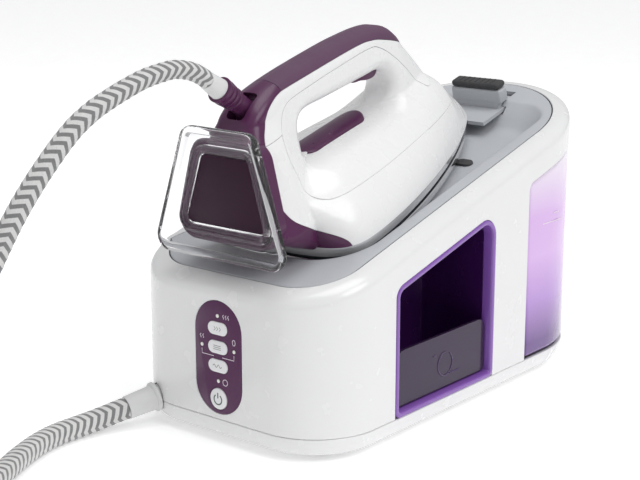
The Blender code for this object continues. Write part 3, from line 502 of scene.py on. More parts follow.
def moulded(name, colour, rough=0.3, coat=0.0, grain=0.02, grain_scale=900.0, vary=0.02, metal=0.0,
            clear=0.0, ior=1.46, sheen=0.0, shine=0.5):
    """Moulded plastic, rubber or cast metal: a fine grain, slight unevenness in gloss and shade."""
    mat, tree, shader = shader_of(name)
    shader.inputs["Metallic"].default_value = metal
    shader.inputs["Coat Weight"].default_value = coat
    shader.inputs["Coat Roughness"].default_value = 0.06
    shader.inputs["Transmission Weight"].default_value = clear
    shader.inputs["IOR"].default_value = ior
    shader.inputs["Sheen Weight"].default_value = sheen
    shader.inputs["Specular IOR Level"].default_value = shine
    wide = noise(tree, 22.0, 2.0)
    light = tuple(min(c * (1 + vary), 1.0) for c in colour)
    dark = tuple(c * (1 - vary) for c in colour)
    tree.links.new(shades(tree, spread(tree, wide, 0, 1), dark, light), shader.inputs["Base Color"])
    uneven = noise(tree, 60.0, 3.0)
    tree.links.new(spread(tree, uneven, rough * 0.85, rough * 1.15), shader.inputs["Roughness"])
    bumped(tree, shader, noise(tree, grain_scale, 2.0), grain, 0.0004)
    return mat


def ramp_along(tree, axis, low, high):
    """A value from 0 at low to 1 at high along an object axis."""
    where = tree.nodes.new("ShaderNodeTexCoord")
    split = tree.nodes.new("ShaderNodeSeparateXYZ")
    tree.links.new(where.outputs["Object"], split.inputs["Vector"])
    return spread(tree, split.outputs[axis], 0.0, 1.0, low * MM, high * MM)


def tank_with_painted_shade():
    """The tank's tinted plastic, with painted shade at its foot and a painted light band at mid-height.
    """
    mat, tree, shader = shader_of("tank_plastic")
    shader.inputs["Transmission Weight"].default_value = 0.12
    shader.inputs["IOR"].default_value = 1.45
    shader.inputs["Coat Weight"].default_value = 0.4
    shader.inputs["Coat Roughness"].default_value = 0.05
    # Painted shade and painted highlight band, spread along the tank's height
    height = ramp_along(tree, "Z", 30.0, 185.0)
    stops = tree.nodes.new("ShaderNodeValToRGB")
    ramp = stops.color_ramp
    for at, colour in TANK_PAINTED_SHADES:
        stop = ramp.elements.new(at) if 0 < at < 1 else ramp.elements[round(at)]
        stop.color = (*colour, 1)
    tree.links.new(height, stops.inputs["Fac"])
    tree.links.new(stops.outputs["Color"], shader.inputs["Base Color"])
    tree.links.new(spread(tree, noise(tree, 40.0), 0.1, 0.16), shader.inputs["Roughness"])
    bumped(tree, shader, noise(tree, 500.0, 2.0), 0.01, 0.0004)
    return mat


def braid():
    """A woven hose sleeve: zigzag bands of light and dark yarn with a fine thread relief."""
    mat, tree, shader = shader_of("hose_braid")
    where = tree.nodes.new("ShaderNodeUVMap")
    where.uv_map = "run"
    split = tree.nodes.new("ShaderNodeSeparateXYZ")
    tree.links.new(where.outputs["UV"], split.inputs["Vector"])

    def maths(operation, a, b=None, c=None):
        node = tree.nodes.new("ShaderNodeMath")
        node.operation = operation
        for socket, value in zip(node.inputs, (a, b, c)):
            if value is None:
                continue
            if isinstance(value, (int, float)):
                socket.default_value = value
            else:
                tree.links.new(value, socket)
        return node.outputs[0]

    run = maths("DIVIDE", split.outputs["X"], BRAID_PITCH * MM)
    zigzag = maths("PINGPONG", maths("MULTIPLY", split.outputs["Y"], BRAID_STARTS), 1.0)
    band = maths("FRACT", maths("ADD", run, maths("MULTIPLY", zigzag, BRAID_SLANT)))
    edge = maths("PINGPONG", maths("MULTIPLY", band, 2.0), 1.0)
    dark = spread(tree, edge, 0.0, 1.0, 0.47, 0.59)
    fibres = noise(tree, 1500.0, 3.0)
    grey = shades(tree, fibres, (0.56, 0.56, 0.55), (0.74, 0.74, 0.73))
    deep = shades(tree, fibres, (0.15, 0.15, 0.152), (0.25, 0.25, 0.252))
    both = tree.nodes.new("ShaderNodeMix")
    both.data_type = "RGBA"
    tree.links.new(dark, both.inputs["Factor"])
    tree.links.new(grey, both.inputs["A"])
    tree.links.new(deep, both.inputs["B"])
    tree.links.new(both.outputs["Result"], shader.inputs["Base Color"])
    shader.inputs["Roughness"].default_value = 0.85
    shader.inputs["Sheen Weight"].default_value = 0.3
    threads = maths("MULTIPLY", maths("SINE", maths("MULTIPLY", run, 31.4)),
                    maths("SINE", maths("MULTIPLY", split.outputs["Y"], 251.3)))
    relief = maths("ADD", maths("MULTIPLY", threads, 0.5), fibres)
    bumped(tree, shader, relief, 0.5, 0.0004)
    return mat


def brushed(name, colour, rough, scale=(30.0, 900.0, 900.0)):
    """Metal with fine lines along one axis."""
    mat, tree, shader = shader_of(name)
    shader.inputs["Metallic"].default_value = 1.0
    shader.inputs["Base Color"].default_value = (*colour, 1)
    where = tree.nodes.new("ShaderNodeTexCoord")
    mapping = tree.nodes.new("ShaderNodeMapping")
    mapping.inputs["Scale"].default_value = scale
    node = tree.nodes.new("ShaderNodeTexNoise")
    node.inputs["Scale"].default_value = 1.0
    node.inputs["Detail"].default_value = 4.0
    tree.links.new(where.outputs["Object"], mapping.inputs["Vector"])
    tree.links.new(mapping.outputs["Vector"], node.inputs["Vector"])
    tree.links.new(spread(tree, node.outputs["Fac"], rough * 0.7, rough * 1.3),
                   shader.inputs["Roughness"])
    bumped(tree, shader, node.outputs["Fac"], 0.05, 0.0002)
    return mat


# ---------------------------------------------------------------- stage
def camera_and_light():
    """The photograph's viewing angle, soft studio light and a pale floor."""
    scene = bpy.context.scene
    azimuth, elevation = math.radians(AZIMUTH), math.radians(ELEVATION)
    back = Vector((math.sin(azimuth) * math.cos(elevation), -math.cos(azimuth) * math.cos(elevation),
                   math.sin(elevation)))
    camera = bpy.data.objects.new("camera", bpy.data.cameras.new("camera"))
    scene.collection.objects.link(camera)
    camera.data.lens = FOCAL_LENGTH
    camera.data.sensor_width = 36.0
    camera.location = (Vector(TARGET) + back * DISTANCE) * MM
    camera.rotation_mode = "QUATERNION"
    camera.rotation_quaternion = (-back).to_track_quat("-Z", "Y")
    camera.data.clip_start = 0.05
    scene.camera = camera
    world = bpy.data.worlds.new("studio")
    world.use_nodes = True
    world.node_tree.nodes["Background"].inputs["Color"].default_value = WORLD_COLOUR
    world.node_tree.nodes["Background"].inputs["Strength"].default_value = WORLD_STRENGTH
    scene.world = world
    scene.view_settings.view_transform = "Standard"
    for name, kind, place, width, power in LAMPS_ABOVE:
        lamp = bpy.data.lights.new(name, kind)
        lamp.energy = power
        if kind == "SUN":
            lamp.angle = width
        else:
            lamp.size = width
        obj = bpy.data.objects.new(name, lamp)
        scene.collection.objects.link(obj)
        obj.location = place
        obj.rotation_euler = (-Vector(place)).to_track_quat("-Z", "Y").to_euler()
    corners = [(a * FLOOR_SIZE, b * FLOOR_SIZE, 0) for a, b in ((-1, -1), (1, -1), (1, 1), (-1, 1))]
    floor = helper(mesh_from(corners, [(0, 1, 2, 3)]))
    floor.name = "floor"
    paper = moulded("floor_paper", (0.95, 0.95, 0.95), rough=0.7, grain=0.0)
    shader = paper.node_tree.nodes["Principled BSDF"]
    shader.inputs["Emission Color"].default_value = (1, 1, 1, 1)
    shader.inputs["Emission Strength"].default_value = FLOOR_GLOW
    floor.data.materials.append(paper)


# ---------------------------------------------------------------- hose
def coil_point(angle, z):
    return (COIL_CENTRE[0] + COIL_RADIUS * math.cos(angle),
            COIL_CENTRE[1] + COIL_RADIUS * math.sin(angle), z)


def hose_route():
    """Out of the boot, round the coil from its foot to its top, and up to the iron."""
    lower, upper = COIL_LEVELS
    turns = []
    for k in range(COIL_STEPS + 1):
        t = k / COIL_STEPS
        rise = min(max((t - COIL_RISE_FROM) / COIL_RISE_OVER, 0.0), 1.0)
        turns.append(coil_point(math.radians(COIL_FROM + (COIL_TO - COIL_FROM) * t),
                                lower + (upper - lower) * rise * rise * (3 - 2 * rise)))
    return [*LOWER_ROUTE, *INTO_COIL, *turns, *reversed(UPPER_ROUTE)]


def hose(mats):
    line = smooth_line(hose_route(), 3.0)
    runs, widths = zip(*HOSE_WIDTHS)

    def radius(run, angle):
        zigzag = abs((angle / (2 * math.pi) * BRAID_STARTS) % 2.0 - 1.0)
        band = (run / BRAID_PITCH - zigzag * BRAID_SLANT) % 1.0
        return float(np.interp(run, runs, widths)) - 0.15 + 0.2 * math.cos(2 * math.pi * band)

    tube = show("steam_hose", sweep(line, radius, 36), mats["braid"], None, sharp=60)
    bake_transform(tube)
    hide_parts("hose_lower", "hose_upper", "hose_coil")
    boot = show("hose_strain_relief",
                lathe(((0, -9), (8.2, -9), (8.2, 0.9), (10.6, 0.9), (11.0, 1.3), (11.0, 3.3),
                       (10.6, 3.9), (9.5, 4.3), (9.2, 5.4), (8.95, 10), (8.6, 24.3), (8.2, 25),
                       (0, 25)), BOOT_AT, BOOT_AXIS), mats["sleeve"], "base",
                ["hose_boot"])
    way = collar_way()
    start = Vector(pivot_world())
    stretch = [start + way * s for s in np.linspace(CUFF_START, CUFF_END, 14)]

    def cuff_radius(run, _):
        return 7.4 - 0.09 * run - (0.5 if run > CUFF_END - CUFF_START - 0.5 else 0.0)

    cuff = show("hose_flex_cuff", sweep(stretch, cuff_radius, 40), mats["sleeve"], None)
    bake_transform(cuff)
    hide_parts("hose_cuff")


def pivot_world():
    return tuple(iron_to_world((0, PIVOT_U, PIVOT_W)))


def collar_way():
    return Vector((0, -math.cos(COLLAR_ANGLE), math.sin(COLLAR_ANGLE)))


# ---------------------------------------------------------------- base station
def seen_from_right(y, z, x):
    """The place in space of a side view's point; in the iron's frame y is u and z is w."""
    return (x, y, z)


def panel_place(x, z, depth):
    return (x, depth, PANEL_Z + z)


def pocket_outline(inset):
    """The storage pocket's mouth in (y, z), its top edge parallel to the deck."""
    front, back, floor = POCKET_FRONT + inset, POCKET_BACK - inset, POCKET_FLOOR + inset
    lift = POCKET_TOP - inset * math.hypot(1, POCKET_SLOPE)
    corners = ((front, floor), (back, floor), (back, lift + POCKET_SLOPE * back),
               (front, lift + POCKET_SLOPE * front))
    radii = [max(radius - inset, 1.5) for radius in (6.0, 6.0, 14.0, 10.0)]
    return corners_rounded(corners, radii)


def boot_hole():
    return lathe(((0, -14), (9.4, -14), (9.4, 10), (0, 10)), BOOT_AT, BOOT_AXIS)


def housing(mats):
    rim = [(0, 14), (0, 11), (0.1, 9), (0.35, 7.6), (0.9, 6.2), (1.8, 4.8), (3.0, 3.6), (4.6, 2.5),
           (6.4, 1.65), (8.4, 0.95), (10.4, 0.45), (12.4, 0.12), (RIM_INSET - 0.4, 0.0),
           (RIM_INSET, 0.35)]
    inside = [(RIM_INSET, 3.3), (8.5, 5.2), (4.4, 8.2), (WALL, 14)]
    rings = [level(footprint(0.5), SPLIT_Z + GAP), level(footprint(0), SPLIT_Z + GAP + 0.5)]
    rings += [below_deck(footprint(inset), drop) for inset, drop in rim + inside]
    rings.append(level(footprint(WALL), SPLIT_Z + GAP))
    mouth = [(y, z if z > POCKET_FLOOR + 8 else z - 8) for y, z in pocket_outline(-GAP)]
    bay = corners_rounded(((BAY_Y, 0), (260, 0), (260, deck_height(260) - BAY_DROP),
                           (BAY_Y, deck_height(BAY_Y) - BAY_DROP)), (1, 1, 1, 7))
    hole = stadium(PANEL_HALF + GAP, PANEL_HEIGHT + 2 * GAP)
    cutters = [prism(mouth, 80, 110, seen_from_right),
               prism(bay, -120, 120, seen_from_right),
               prism(hole, -200, -170, panel_place),
               boot_hole(),
               lathe(((0, 0), (6.6, 0), (6.6, 30), (0, 30)), (-80, -84, 34), (-1, 0, 0))]
    show("housing_skin", carved(loft(rings, wrap=True), cutters), mats["white"], "base",
         ["housing_shell"])
    tray = [level(footprint(inset), z) for inset, z in (
        (10.0, 4.6), (6.4, 4.9), (4.4, 5.9), (3.3, 7.5), (2.2, 9.6), (1.3, 12.2), (0.6, 15.2),
        (0.25, SPLIT_Z - 0.5), (0.7, SPLIT_Z), (WALL + 0.4, SPLIT_Z), (WALL + 1.2, 12.0), (6.0, 7.3))]
    show("tray_skin", carved(loft(tray), [boot_hole()]), mats["white"], "base",
         ["base_tray"])


def deck(mats):
    def pan(half, front, back, drop, corner, rear):
        return below_deck(rounded(half, front, back, corner, rear, (16, 16)), drop)

    def edge(inset, drop):
        return below_deck(footprint(inset, (16, 16)), drop)

    floor = PAN_DEPTH / math.cos(DECK_ANGLE)
    rings = [pan(*sizes) for sizes in (
        (60, -125, 118, floor, 35, 23), (63, -128, 121.5, floor - 0.4, 37, 25),
        (65, -130, 124, floor - 1.8, 38, 26), (66.8, -131.6, 128, floor - 6, 39, 27),
        (68.5, -133, 133, floor - 11, 40, 28), (69.4, -134.2, 136.6, 2.4, 41, 29),
        (70, -135, 138, 1.0, 42, 30), (71, -136.4, 139.4, 0.25, 43, 31),
        (72.5, -138, 141, 0.0, 44, 32))]
    rings += [edge(RIM_INSET + 1.5, 0.0), edge(RIM_INSET + 1.0, 0.5), edge(RIM_INSET + 1.0, 3.0)]
    rings += [pan(73, -138, 142, 3.2, 44, 32), pan(71, -136, 137, floor - 7, 42, 30),
              pan(67, -132, 127, floor + 2.8, 40, 28)]

    def slot(half, low_u, high_u, low_w, high_w):
        outline = corners_rounded(((-half, low_u), (half, low_u), (half, high_u), (-half, high_u)),
                                  (1.5,) * 4, 4)
        return loft([iron_to_world([(x, u, w) for x, u in outline]) for w in (low_w, high_w)])

    shape = carved(loft(rings), [slot(21.5, 133, 163, -4, 4), slot(25.5, 112, 150, -8, -3.1)])
    # A dark band in the gap between the housing rim and the deck: painted shade for the gap's shadow
    shade_band = [edge(RIM_INSET + inset, drop)
            for inset, drop in ((0.05, 0.7), (0.95, 0.7), (0.95, 2.2), (0.05, 2.2))]
    show("deck_gap_shade", loft(shade_band, wrap=True), mats["seam"], "base")
    show("deck_skin", shape, mats["deck"], "base", ["rest_deck"])
    places = {"front_left": (-37, 56), "front_right": (37, 56), "rear_left": (-40, -106),
              "rear_right": (40, -106)}
    for side, (x, u) in places.items():
        outline = lying(stadium(4.8, 15, 12))
        rings = [iron_to_world([(x + a * k, u + b * k, w) for a, b in outline])
                 for k, w in ((1, -PAN_DEPTH + GAP), (1, -14.1), (0.96, -13.7), (0.86, -13.4),
                              (0.6, -13.3))]
        show("pad_" + side, loft(rings), mats["rubber"], "base", ["rest_pad_" + side])


def rounded_bar(half, low_u, high_u, low_w, high_w, radius, mat, name, body, stands_for,
                joined=()):
    """A block on the deck with rounded edges all round."""
    rings = []
    for lift, shrink in ((0, 1), (0.3, 0.3), (1, 0)):
        rings.append((low_w + lift * radius, shrink * radius))
    rings += [(high_w - lift * radius, shrink * radius)
              for lift, shrink in ((1, 0), (0.62, 0.07), (0.3, 0.3), (0.07, 0.62), (0, 1))]
    made = []
    for w, inset in rings:
        outline = corners_rounded(((-half + inset, low_u + inset), (half - inset, low_u + inset),
                                   (half - inset, high_u - inset), (-half + inset, high_u - inset)),
                                  (max(radius - inset * 0.8, 0.4),) * 4, 6)
        made.append(iron_to_world([(x, u, w) for x, u in outline]))
    mesh = loft(made)
    if joined:
        mesh = carved(mesh, (), joined)
    return show(name, mesh, mat, body, stands_for)


def lock(mats):
    tongue = ((-17, 162), (-24, 152), (-24, 107), (-9, 107), (0, 114), (9, 107), (24, 107), (24, 152),
              (17, 162))
    blade = loft([iron_to_world([(x, u, w) for x, u in tongue]) for w in (-6.5, -3.5)])
    stem_outline = ((-20.5, 135.5), (20.5, 135.5), (20.5, 146.5), (-20.5, 146.5))
    stem = loft([iron_to_world([(x, u, w) for x, u in stem_outline]) for w in (-5, 2)])
    rounded_bar(23.5, 135, 147, 0.4, 12, 1.4, mats["deck"], "lock_block", "lock",
                ["lock_slider"], [blade, stem])
    rounded_bar(22.8, 134.3, 147.4, 12.3, 18, 2.6, mats["soft_black"], "lock_soft_grip", "lock",
                ["lock_grip"])
    for k in range(7):
        x = -15 + k * 5
        rib = prism(stadium(0.55, 8.6, 6), 17.9, 18.35,
                    lambda a, b, w, x=x: tuple(iron_to_world((x + a, 140.8 + b, w))))
        show("lock_rib_%d" % (k + 1), rib, mats["soft_black"], "lock")


def pocket(mats):
    def mouths(*profile):
        return [[(x, y, z) for y, z in pocket_outline(inset)] for inset, x in profile]

    out = BASE_HALF
    rim = mouths((4.3, 88.5), (0.5, 88.5), (0, 89), (0, out), (0.3, out + 0.55), (0.9, out + 0.8),
                 (2.6, out + 0.8), (3.5, out + 0.4), (4.2, out - 0.8))
    show("pocket_rim", loft(rim, wrap=True), mats["violet"], "base",
         ["storage_pocket"])
    well = mouths((2.8, POCKET_IN_X - 2), (2.8, 88.3), (5.0, 88.3), (5.3, 60), (5.6, POCKET_IN_X + 3),
                  (7.0, POCKET_IN_X + 0.8), (9.0, POCKET_IN_X))
    show("pocket_well", loft(well), mats["well"], "base")
    front, back, foot = POCKET_FRONT + 5.7, POCKET_BACK - 5.7, POCKET_FLOOR + 5.7
    edge = corners_rounded(((front, foot), (back, foot), (back, FENCE_TOP), (front, FENCE_TOP)),
                           (3, 3, 9, 9))
    rings = [[(x, y, z) for y, z in edge] for x in (89.5, 92)]
    show("fence_pane", loft(rings), mats["smoke"], "base", ["storage_fence"])
    coil_sign(mats)


def coil_sign(mats):
    """A raised pictogram of a wound cord and its plug on the fence."""
    y = (POCKET_FRONT + POCKET_BACK) / 2 + 4
    x, z = 92.1, 42.0
    lines = {"coil_sign": [(x, y - 9 * math.sin(a), z + 9 * math.cos(a))
                           for a in np.linspace(0, 5.6, 48)],
             "coil_sign_lead": [(x, y + 6 + k * 1.6, z - 8.6) for k in range(9)],
             "coil_sign_plug": [(x, y - 12 - k * 0.8, z + 9) for k in range(5)]}
    for name, line in lines.items():
        show(name, sweep(line, lambda run, a: 0.55, 8), mats["sign"], "base")


def panel(mats):
    """The control panel with its keys, power button and lamps."""
    def pill(inset, y):
        outline = stadium(PANEL_HALF - inset, PANEL_HEIGHT - 2 * inset)
        return [panel_place(x, z, y) for x, z in outline]

    holes = []
    for z in BUTTONS.values():
        holes.append(prism(lying(stadium(4.9, 18.4)), -190, -175,
                           lambda a, b, depth, z=z: (a, depth, z + b)))
    holes.append(lathe(((0, 0), (8.2, 0), (8.2, 15), (0, 15)), (0, -175, POWER_Z), (0, -1, 0)))
    for x, z in LAMPS.values():
        holes.append(lathe(((0, 0), (1.6, 0), (1.6, 15), (0, 15)), (x, -175, z), (0, -1, 0), 20))
    rings = [pill(0, -182.6), pill(0, -184.9), pill(0.25, -185.3), pill(0.8, PANEL_Y)]
    show("panel_face", carved(loft(rings), holes), mats["panel"], "base",
         ["control_panel"])
    for name, z in BUTTONS.items():
        rings = [[(x, y, z + h) for x, h in lying(stadium(half, length))]
                 for half, length, y in (
                     (5.6, 19.8, -179.6), (5.6, 19.8, -182.2), (4.72, 18.04, -182.2),
                     (4.72, 18.04, -185.4), (4.5, 17.6, -185.95), (4.0, 16.6, -186.2),
                     (3.2, 15.0, -186.35), (1.5, 11.6, -186.4))]
        show(name + "_cap", loft(rings), mats["button"], name, [name])
    show("button_power_cap",
         lathe(((0, 0), (9.2, 0), (9.2, 2.6), (7.8, 2.6), (7.8, 5.7), (7.5, 6.3), (6.8, 6.65),
                (6.0, 6.8), (0, 6.8)), (0, -179.6, POWER_Z), (0, -1, 0), 64),
         mats["button"], "button_power", ["button_power"])
    for name, (x, z) in LAMPS.items():
        show(name + "_lens", lathe(((0, 0), (1.3, 0), (1.3, 8.1), (1.0, 8.4), (0.5, 8.55), (0, 8.6)),
                                   (x, -177.6, z), (0, -1, 0), 20), mats["lamp"], "base",
             [name])
    signs(mats)


def stroke(name, line, mat, body, y, thick=0.5, closed=False):
    """A printed line on the front, as a thin flat ribbon standing a hair proud."""
    points = [Vector(p) for p in line]
    count = len(points)
    sides = []
    for i, here in enumerate(points):
        before = points[i - 1] if i or closed else here
        after = points[(i + 1) % count] if i < count - 1 or closed else here
        way = (after - before).normalized()
        sides.append(Vector((-way.y, way.x)) * thick / 2)
    left = [p + s for p, s in zip(points, sides)]
    right = [p - s for p, s in zip(points, sides)]
    corners, faces = [], []
    for a, b in zip(left, right):
        corners += [(a.x, y, a.y), (b.x, y, b.y), (b.x, y + 0.25, b.y), (a.x, y + 0.25, a.y)]
    last = count if closed else count - 1
    for i in range(last):
        j = (i + 1) % count
        for k in range(4):
            m = (k + 1) % 4
            faces.append((4 * i + k, 4 * i + m, 4 * j + m, 4 * j + k))
    if not closed:
        faces += [(0, 1, 2, 3), (4 * last + 3, 4 * last + 2, 4 * last + 1, 4 * last)]
    return show(name, mesh_from(corners, faces), mat, body)


def signs(mats):
    """Simple pictograms: a power sign, marks on the keys and small signs beside the lamps."""
    face, key = PANEL_Y - 0.05, -186.45
    circle = [(3.6 * math.sin(math.radians(a)), POWER_Z - 0.3 + 3.6 * math.cos(math.radians(a)))
              for a in range(35, 326, 10)]
    stroke("power_sign_ring", circle, mats["print_dark"], "button_power", key, 0.9)
    stroke("power_sign_bar", [(0, POWER_Z + 0.6), (0, POWER_Z + 4.6)], mats["print_dark"],
           "button_power", key, 0.9)
    keys = {"button_turbo": [[(-2.6 + s, -1.4), (-1.2 + s, 0), (-2.6 + s, 1.4)]
                             for s in (0, 2.4, 4.8)],
            "button_mode": [[(-3.4, s), (3.4, s)] for s in (-1.3, 0, 1.3)],
            "button_clean": [[(x, 1.1 * math.sin(x * 1.6)) for x in np.linspace(-4, 4, 17)]]}
    for name, lines in keys.items():
        for k, line in enumerate(lines):
            stroke("%s_sign_%d" % (name, k + 1), [(x, BUTTONS[name] + z) for x, z in line],
                   mats["print_grey"], name, key, 0.45)

    def waves(x, z, count):
        return [[(x + 2.3 * k + 0.5 * math.sin(h * 2.4), z + h) for h in np.linspace(0, 3.0, 9)]
                for k in range(count)]

    def ring(x, z, half_width, half_height, step):
        return [(x + half_width * math.sin(math.radians(a)), z + half_height * math.cos(math.radians(a)))
                for a in range(0, 360, step)]

    marks = {"steam_sign_%d" % (k + 1): line for k, line in enumerate(waves(5.5, 92.2, 3))}
    marks.update({"left_sign_%d" % (k + 1): line for k, line in enumerate(waves(-16, 75.2, 2))})
    marks["leaf_sign"] = ring(15, 77, 1.3, 2, 24)
    marks["drop_sign"] = ring(6.5, 46.5, 2.2, 2.2, 20)
    marks["link_left"] = [(-15, 67.8), (-15, 64.2), (-4, 64.2)]
    marks["link_right"] = [(15, 67.8), (15, 64.2), (4, 64.2)]
    for name, line in marks.items():
        stroke(name, line, mats["print_light"], "base", face, 0.45,
               closed=name in ("leaf_sign", "drop_sign"))


def tank(mats):
    def dee(inset):
        front = BAY_Y + TANK_GAP + inset
        kept = [(x, y) for x, y in footprint(0.4 + inset) if y > front + 6]
        side = BASE_HALF - 0.4 - inset
        right = arc((side - 4, front + 4), 4, -90, 0, 8)
        left = arc((-side + 4, front + 4), 4, 180, 270, 8)
        return right + kept + left

    outer = [level(dee(4.4), 19.3), level(dee(2.0), 19.8), level(dee(0.7), 21.0), level(dee(0), 23.4),
             below_deck(dee(0), BAY_DROP + 4), below_deck(dee(0.4), BAY_DROP + 2.4),
             below_deck(dee(1.4), BAY_DROP + 1.4)]
    inner = loft([level(dee(5.0), 22.2), level(dee(3.4), 23.4), level(dee(TANK_WALL), 26),
                  below_deck(dee(TANK_WALL), BAY_DROP + 5)])
    hole = Vector((0, 136, deck_height(136) - BAY_DROP))
    filler = lathe(((0, -20), (15.5, -20), (15.5, 20), (0, 20)), hole, (0, 0, 1))
    valve = lathe(((0, 0), (9.3, 0), (9.3, 20), (0, 20)), (0, 70, 36), (0, -1, 0))
    show("tank_body", carved(loft(outer), [inner, filler, valve]), mats["tank"], "tank",
         ["water_tank"])
    level_mark(mats)


def level_mark(mats):
    """The highest fill line on the tank's side, with a short tick over it."""
    x = BASE_HALF - 0.4 + 0.02
    for k, (z, y0, y1) in enumerate(((123.8, 82.0, 109.0), (130.4, 97.0, 105.0))):
        low, high = z - 0.35, z + 0.35
        back = [(x, y0, low), (x, y1, low), (x, y1, high), (x, y0, high)]
        front = [(a + 0.22, b, c) for a, b, c in back]
        show("level_mark_%d" % (k + 1), loft([back, front]), mats["print_light"], "tank")


def feet(mats):
    for name in ("foot_front_left", "foot_front_right", "foot_rear_left", "foot_rear_right"):
        low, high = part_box(name)
        centre = (low + high) / 2 / MM
        show(name + "_pad", lathe(((0, 0), (6.2, 0), (6.9, 0.2), (7.6, 0.8), (8.0, 1.6), (8.0, 4.2),
                                   (0, 4.2)), (centre.x, centre.y, 0), (0, 0, 1)),
             mats["rubber"], "base", [name])


# ---------------------------------------------------------------- the iron's form
class Table:
    """A value over the side view (u, w), read smoothly between grid points."""

    step = 0.5
    u = np.arange(-186.0, 132.0, step)
    w = np.arange(-10.0, 130.0, step)

    def __init__(self, values):
        self.values = values.astype(np.float32)

    def at(self, u, w):
        a = np.clip((u - self.u[0]) / self.step, 0, len(self.u) - 1.001)
        b = np.clip((w - self.w[0]) / self.step, 0, len(self.w) - 1.001)
        i, j = a.astype(int), b.astype(int)
        s, t = a - i, b - j
        v = self.values
        return ((v[i, j] * (1 - s) + v[i + 1, j] * s) * (1 - t)
                + (v[i, j + 1] * (1 - s) + v[i + 1, j + 1] * s) * t)


def eased(x, table):
    """A smooth monotone curve through the table's points."""
    xs, ys = np.array(table, float).T
    x = np.clip(x, xs[0], xs[-1])
    slopes = np.diff(ys) / np.diff(xs)
    ends = np.concatenate([slopes[:1], np.zeros(len(slopes) - 1), slopes[-1:]])
    same = slopes[:-1] * slopes[1:] > 0
    ends[1:-1][same] = 2 / (1 / slopes[:-1][same] + 1 / slopes[1:][same])
    i = np.clip(np.searchsorted(xs, x, side="right") - 1, 0, len(slopes) - 1)
    h = xs[i + 1] - xs[i]
    t = (x - xs[i]) / h
    return ((1 + 2 * t) * (1 - t) ** 2 * ys[i] + t * (1 - t) ** 2 * h * ends[i]
            + t * t * (3 - 2 * t) * ys[i + 1] + t * t * (t - 1) * h * ends[i + 1])


def sole_half(u, half=SOLE_HALF):
    bow = np.clip((u - SOLE_WIDE_U) / (SOLE_TIP_U - SOLE_WIDE_U), 0, 1)
    back = np.clip((SOLE_WIDE_U - u) / (SOLE_WIDE_U - SOLE_BACK_U), 0, 1)
    return half * (1 - bow ** 1.6) ** 0.75 * (1 - back ** 3) ** (1 / 3)


def signed_root(value):
    return np.sign(value) * np.sqrt(np.abs(value))


def body_half(u, w):
    """The iron's half width over its side view; it runs below zero past the top of the handle."""
    height = np.clip((w - 2.0) / (eased(u, CREST) - 2.0), 0, 1)
    low = sole_half(u, SOLE_HALF + 2) * (1 - height ** 1.6) ** (1 / 2.2)
    over = BAR_HALF * signed_root(1 - ((w - BAR_MID) / BAR_RISE) ** 2)
    under = BAR_HALF + 0.008 * np.maximum(84 - w, 0) ** 1.6
    bar = np.where(w > BAR_MID, over, under)
    nose = eased(w, NOSE)
    taper = signed_root(1 - (np.maximum(u - 20, 0) / np.maximum(nose - 20, 0.5)) ** 2)
    bar = np.where(bar > 0, bar * np.where(nose > 20, taper, 1), bar)
    fall = np.clip((98 - w) / 20, 0, 1)
    heel = np.where(w < 98, np.minimum(18 + 2 * fall + 0.36 * (98 - w), 46), np.minimum(20, bar + 2))
    t = np.clip((-95 - u) / 45, 0, 1)
    t = t * t * (3 - 2 * t)
    side = bar * (1 - t) + heel * t
    return np.cbrt(low ** 3 + side ** 3)


def polygon_distance(corners):
    """Signed distance to a closed polygon over the side view, below zero inside it."""
    u, w = np.meshgrid(Table.u, Table.w, indexing="ij")
    best = np.full(u.shape, 1e9)
    inside = np.zeros(u.shape, bool)
    points = np.array(corners, float)
    for (au, aw), (bu, bw) in zip(points, np.roll(points, -1, axis=0)):
        du, dw = bu - au, bw - aw
        span = du * du + dw * dw
        if span < 1e-9:
            continue
        t = np.clip(((u - au) * du + (w - aw) * dw) / span, 0, 1)
        best = np.minimum(best, (u - au - t * du) ** 2 + (w - aw - t * dw) ** 2)
        if aw != bw:
            crosses = ((aw > w) != (bw > w)) & (u < (bu - au) * (w - aw) / (bw - aw) + au)
            inside ^= crosses
    return Table(np.where(inside, -1, 1) * np.sqrt(best))


def both(a, b, radius):
    """The overlap of two fields, its edge rounded to the radius."""
    corner = np.hypot(np.maximum(a + radius, 0), np.maximum(b + radius, 0)) - radius
    return np.where((a > -radius) & (b > -radius), corner, np.maximum(a, b))


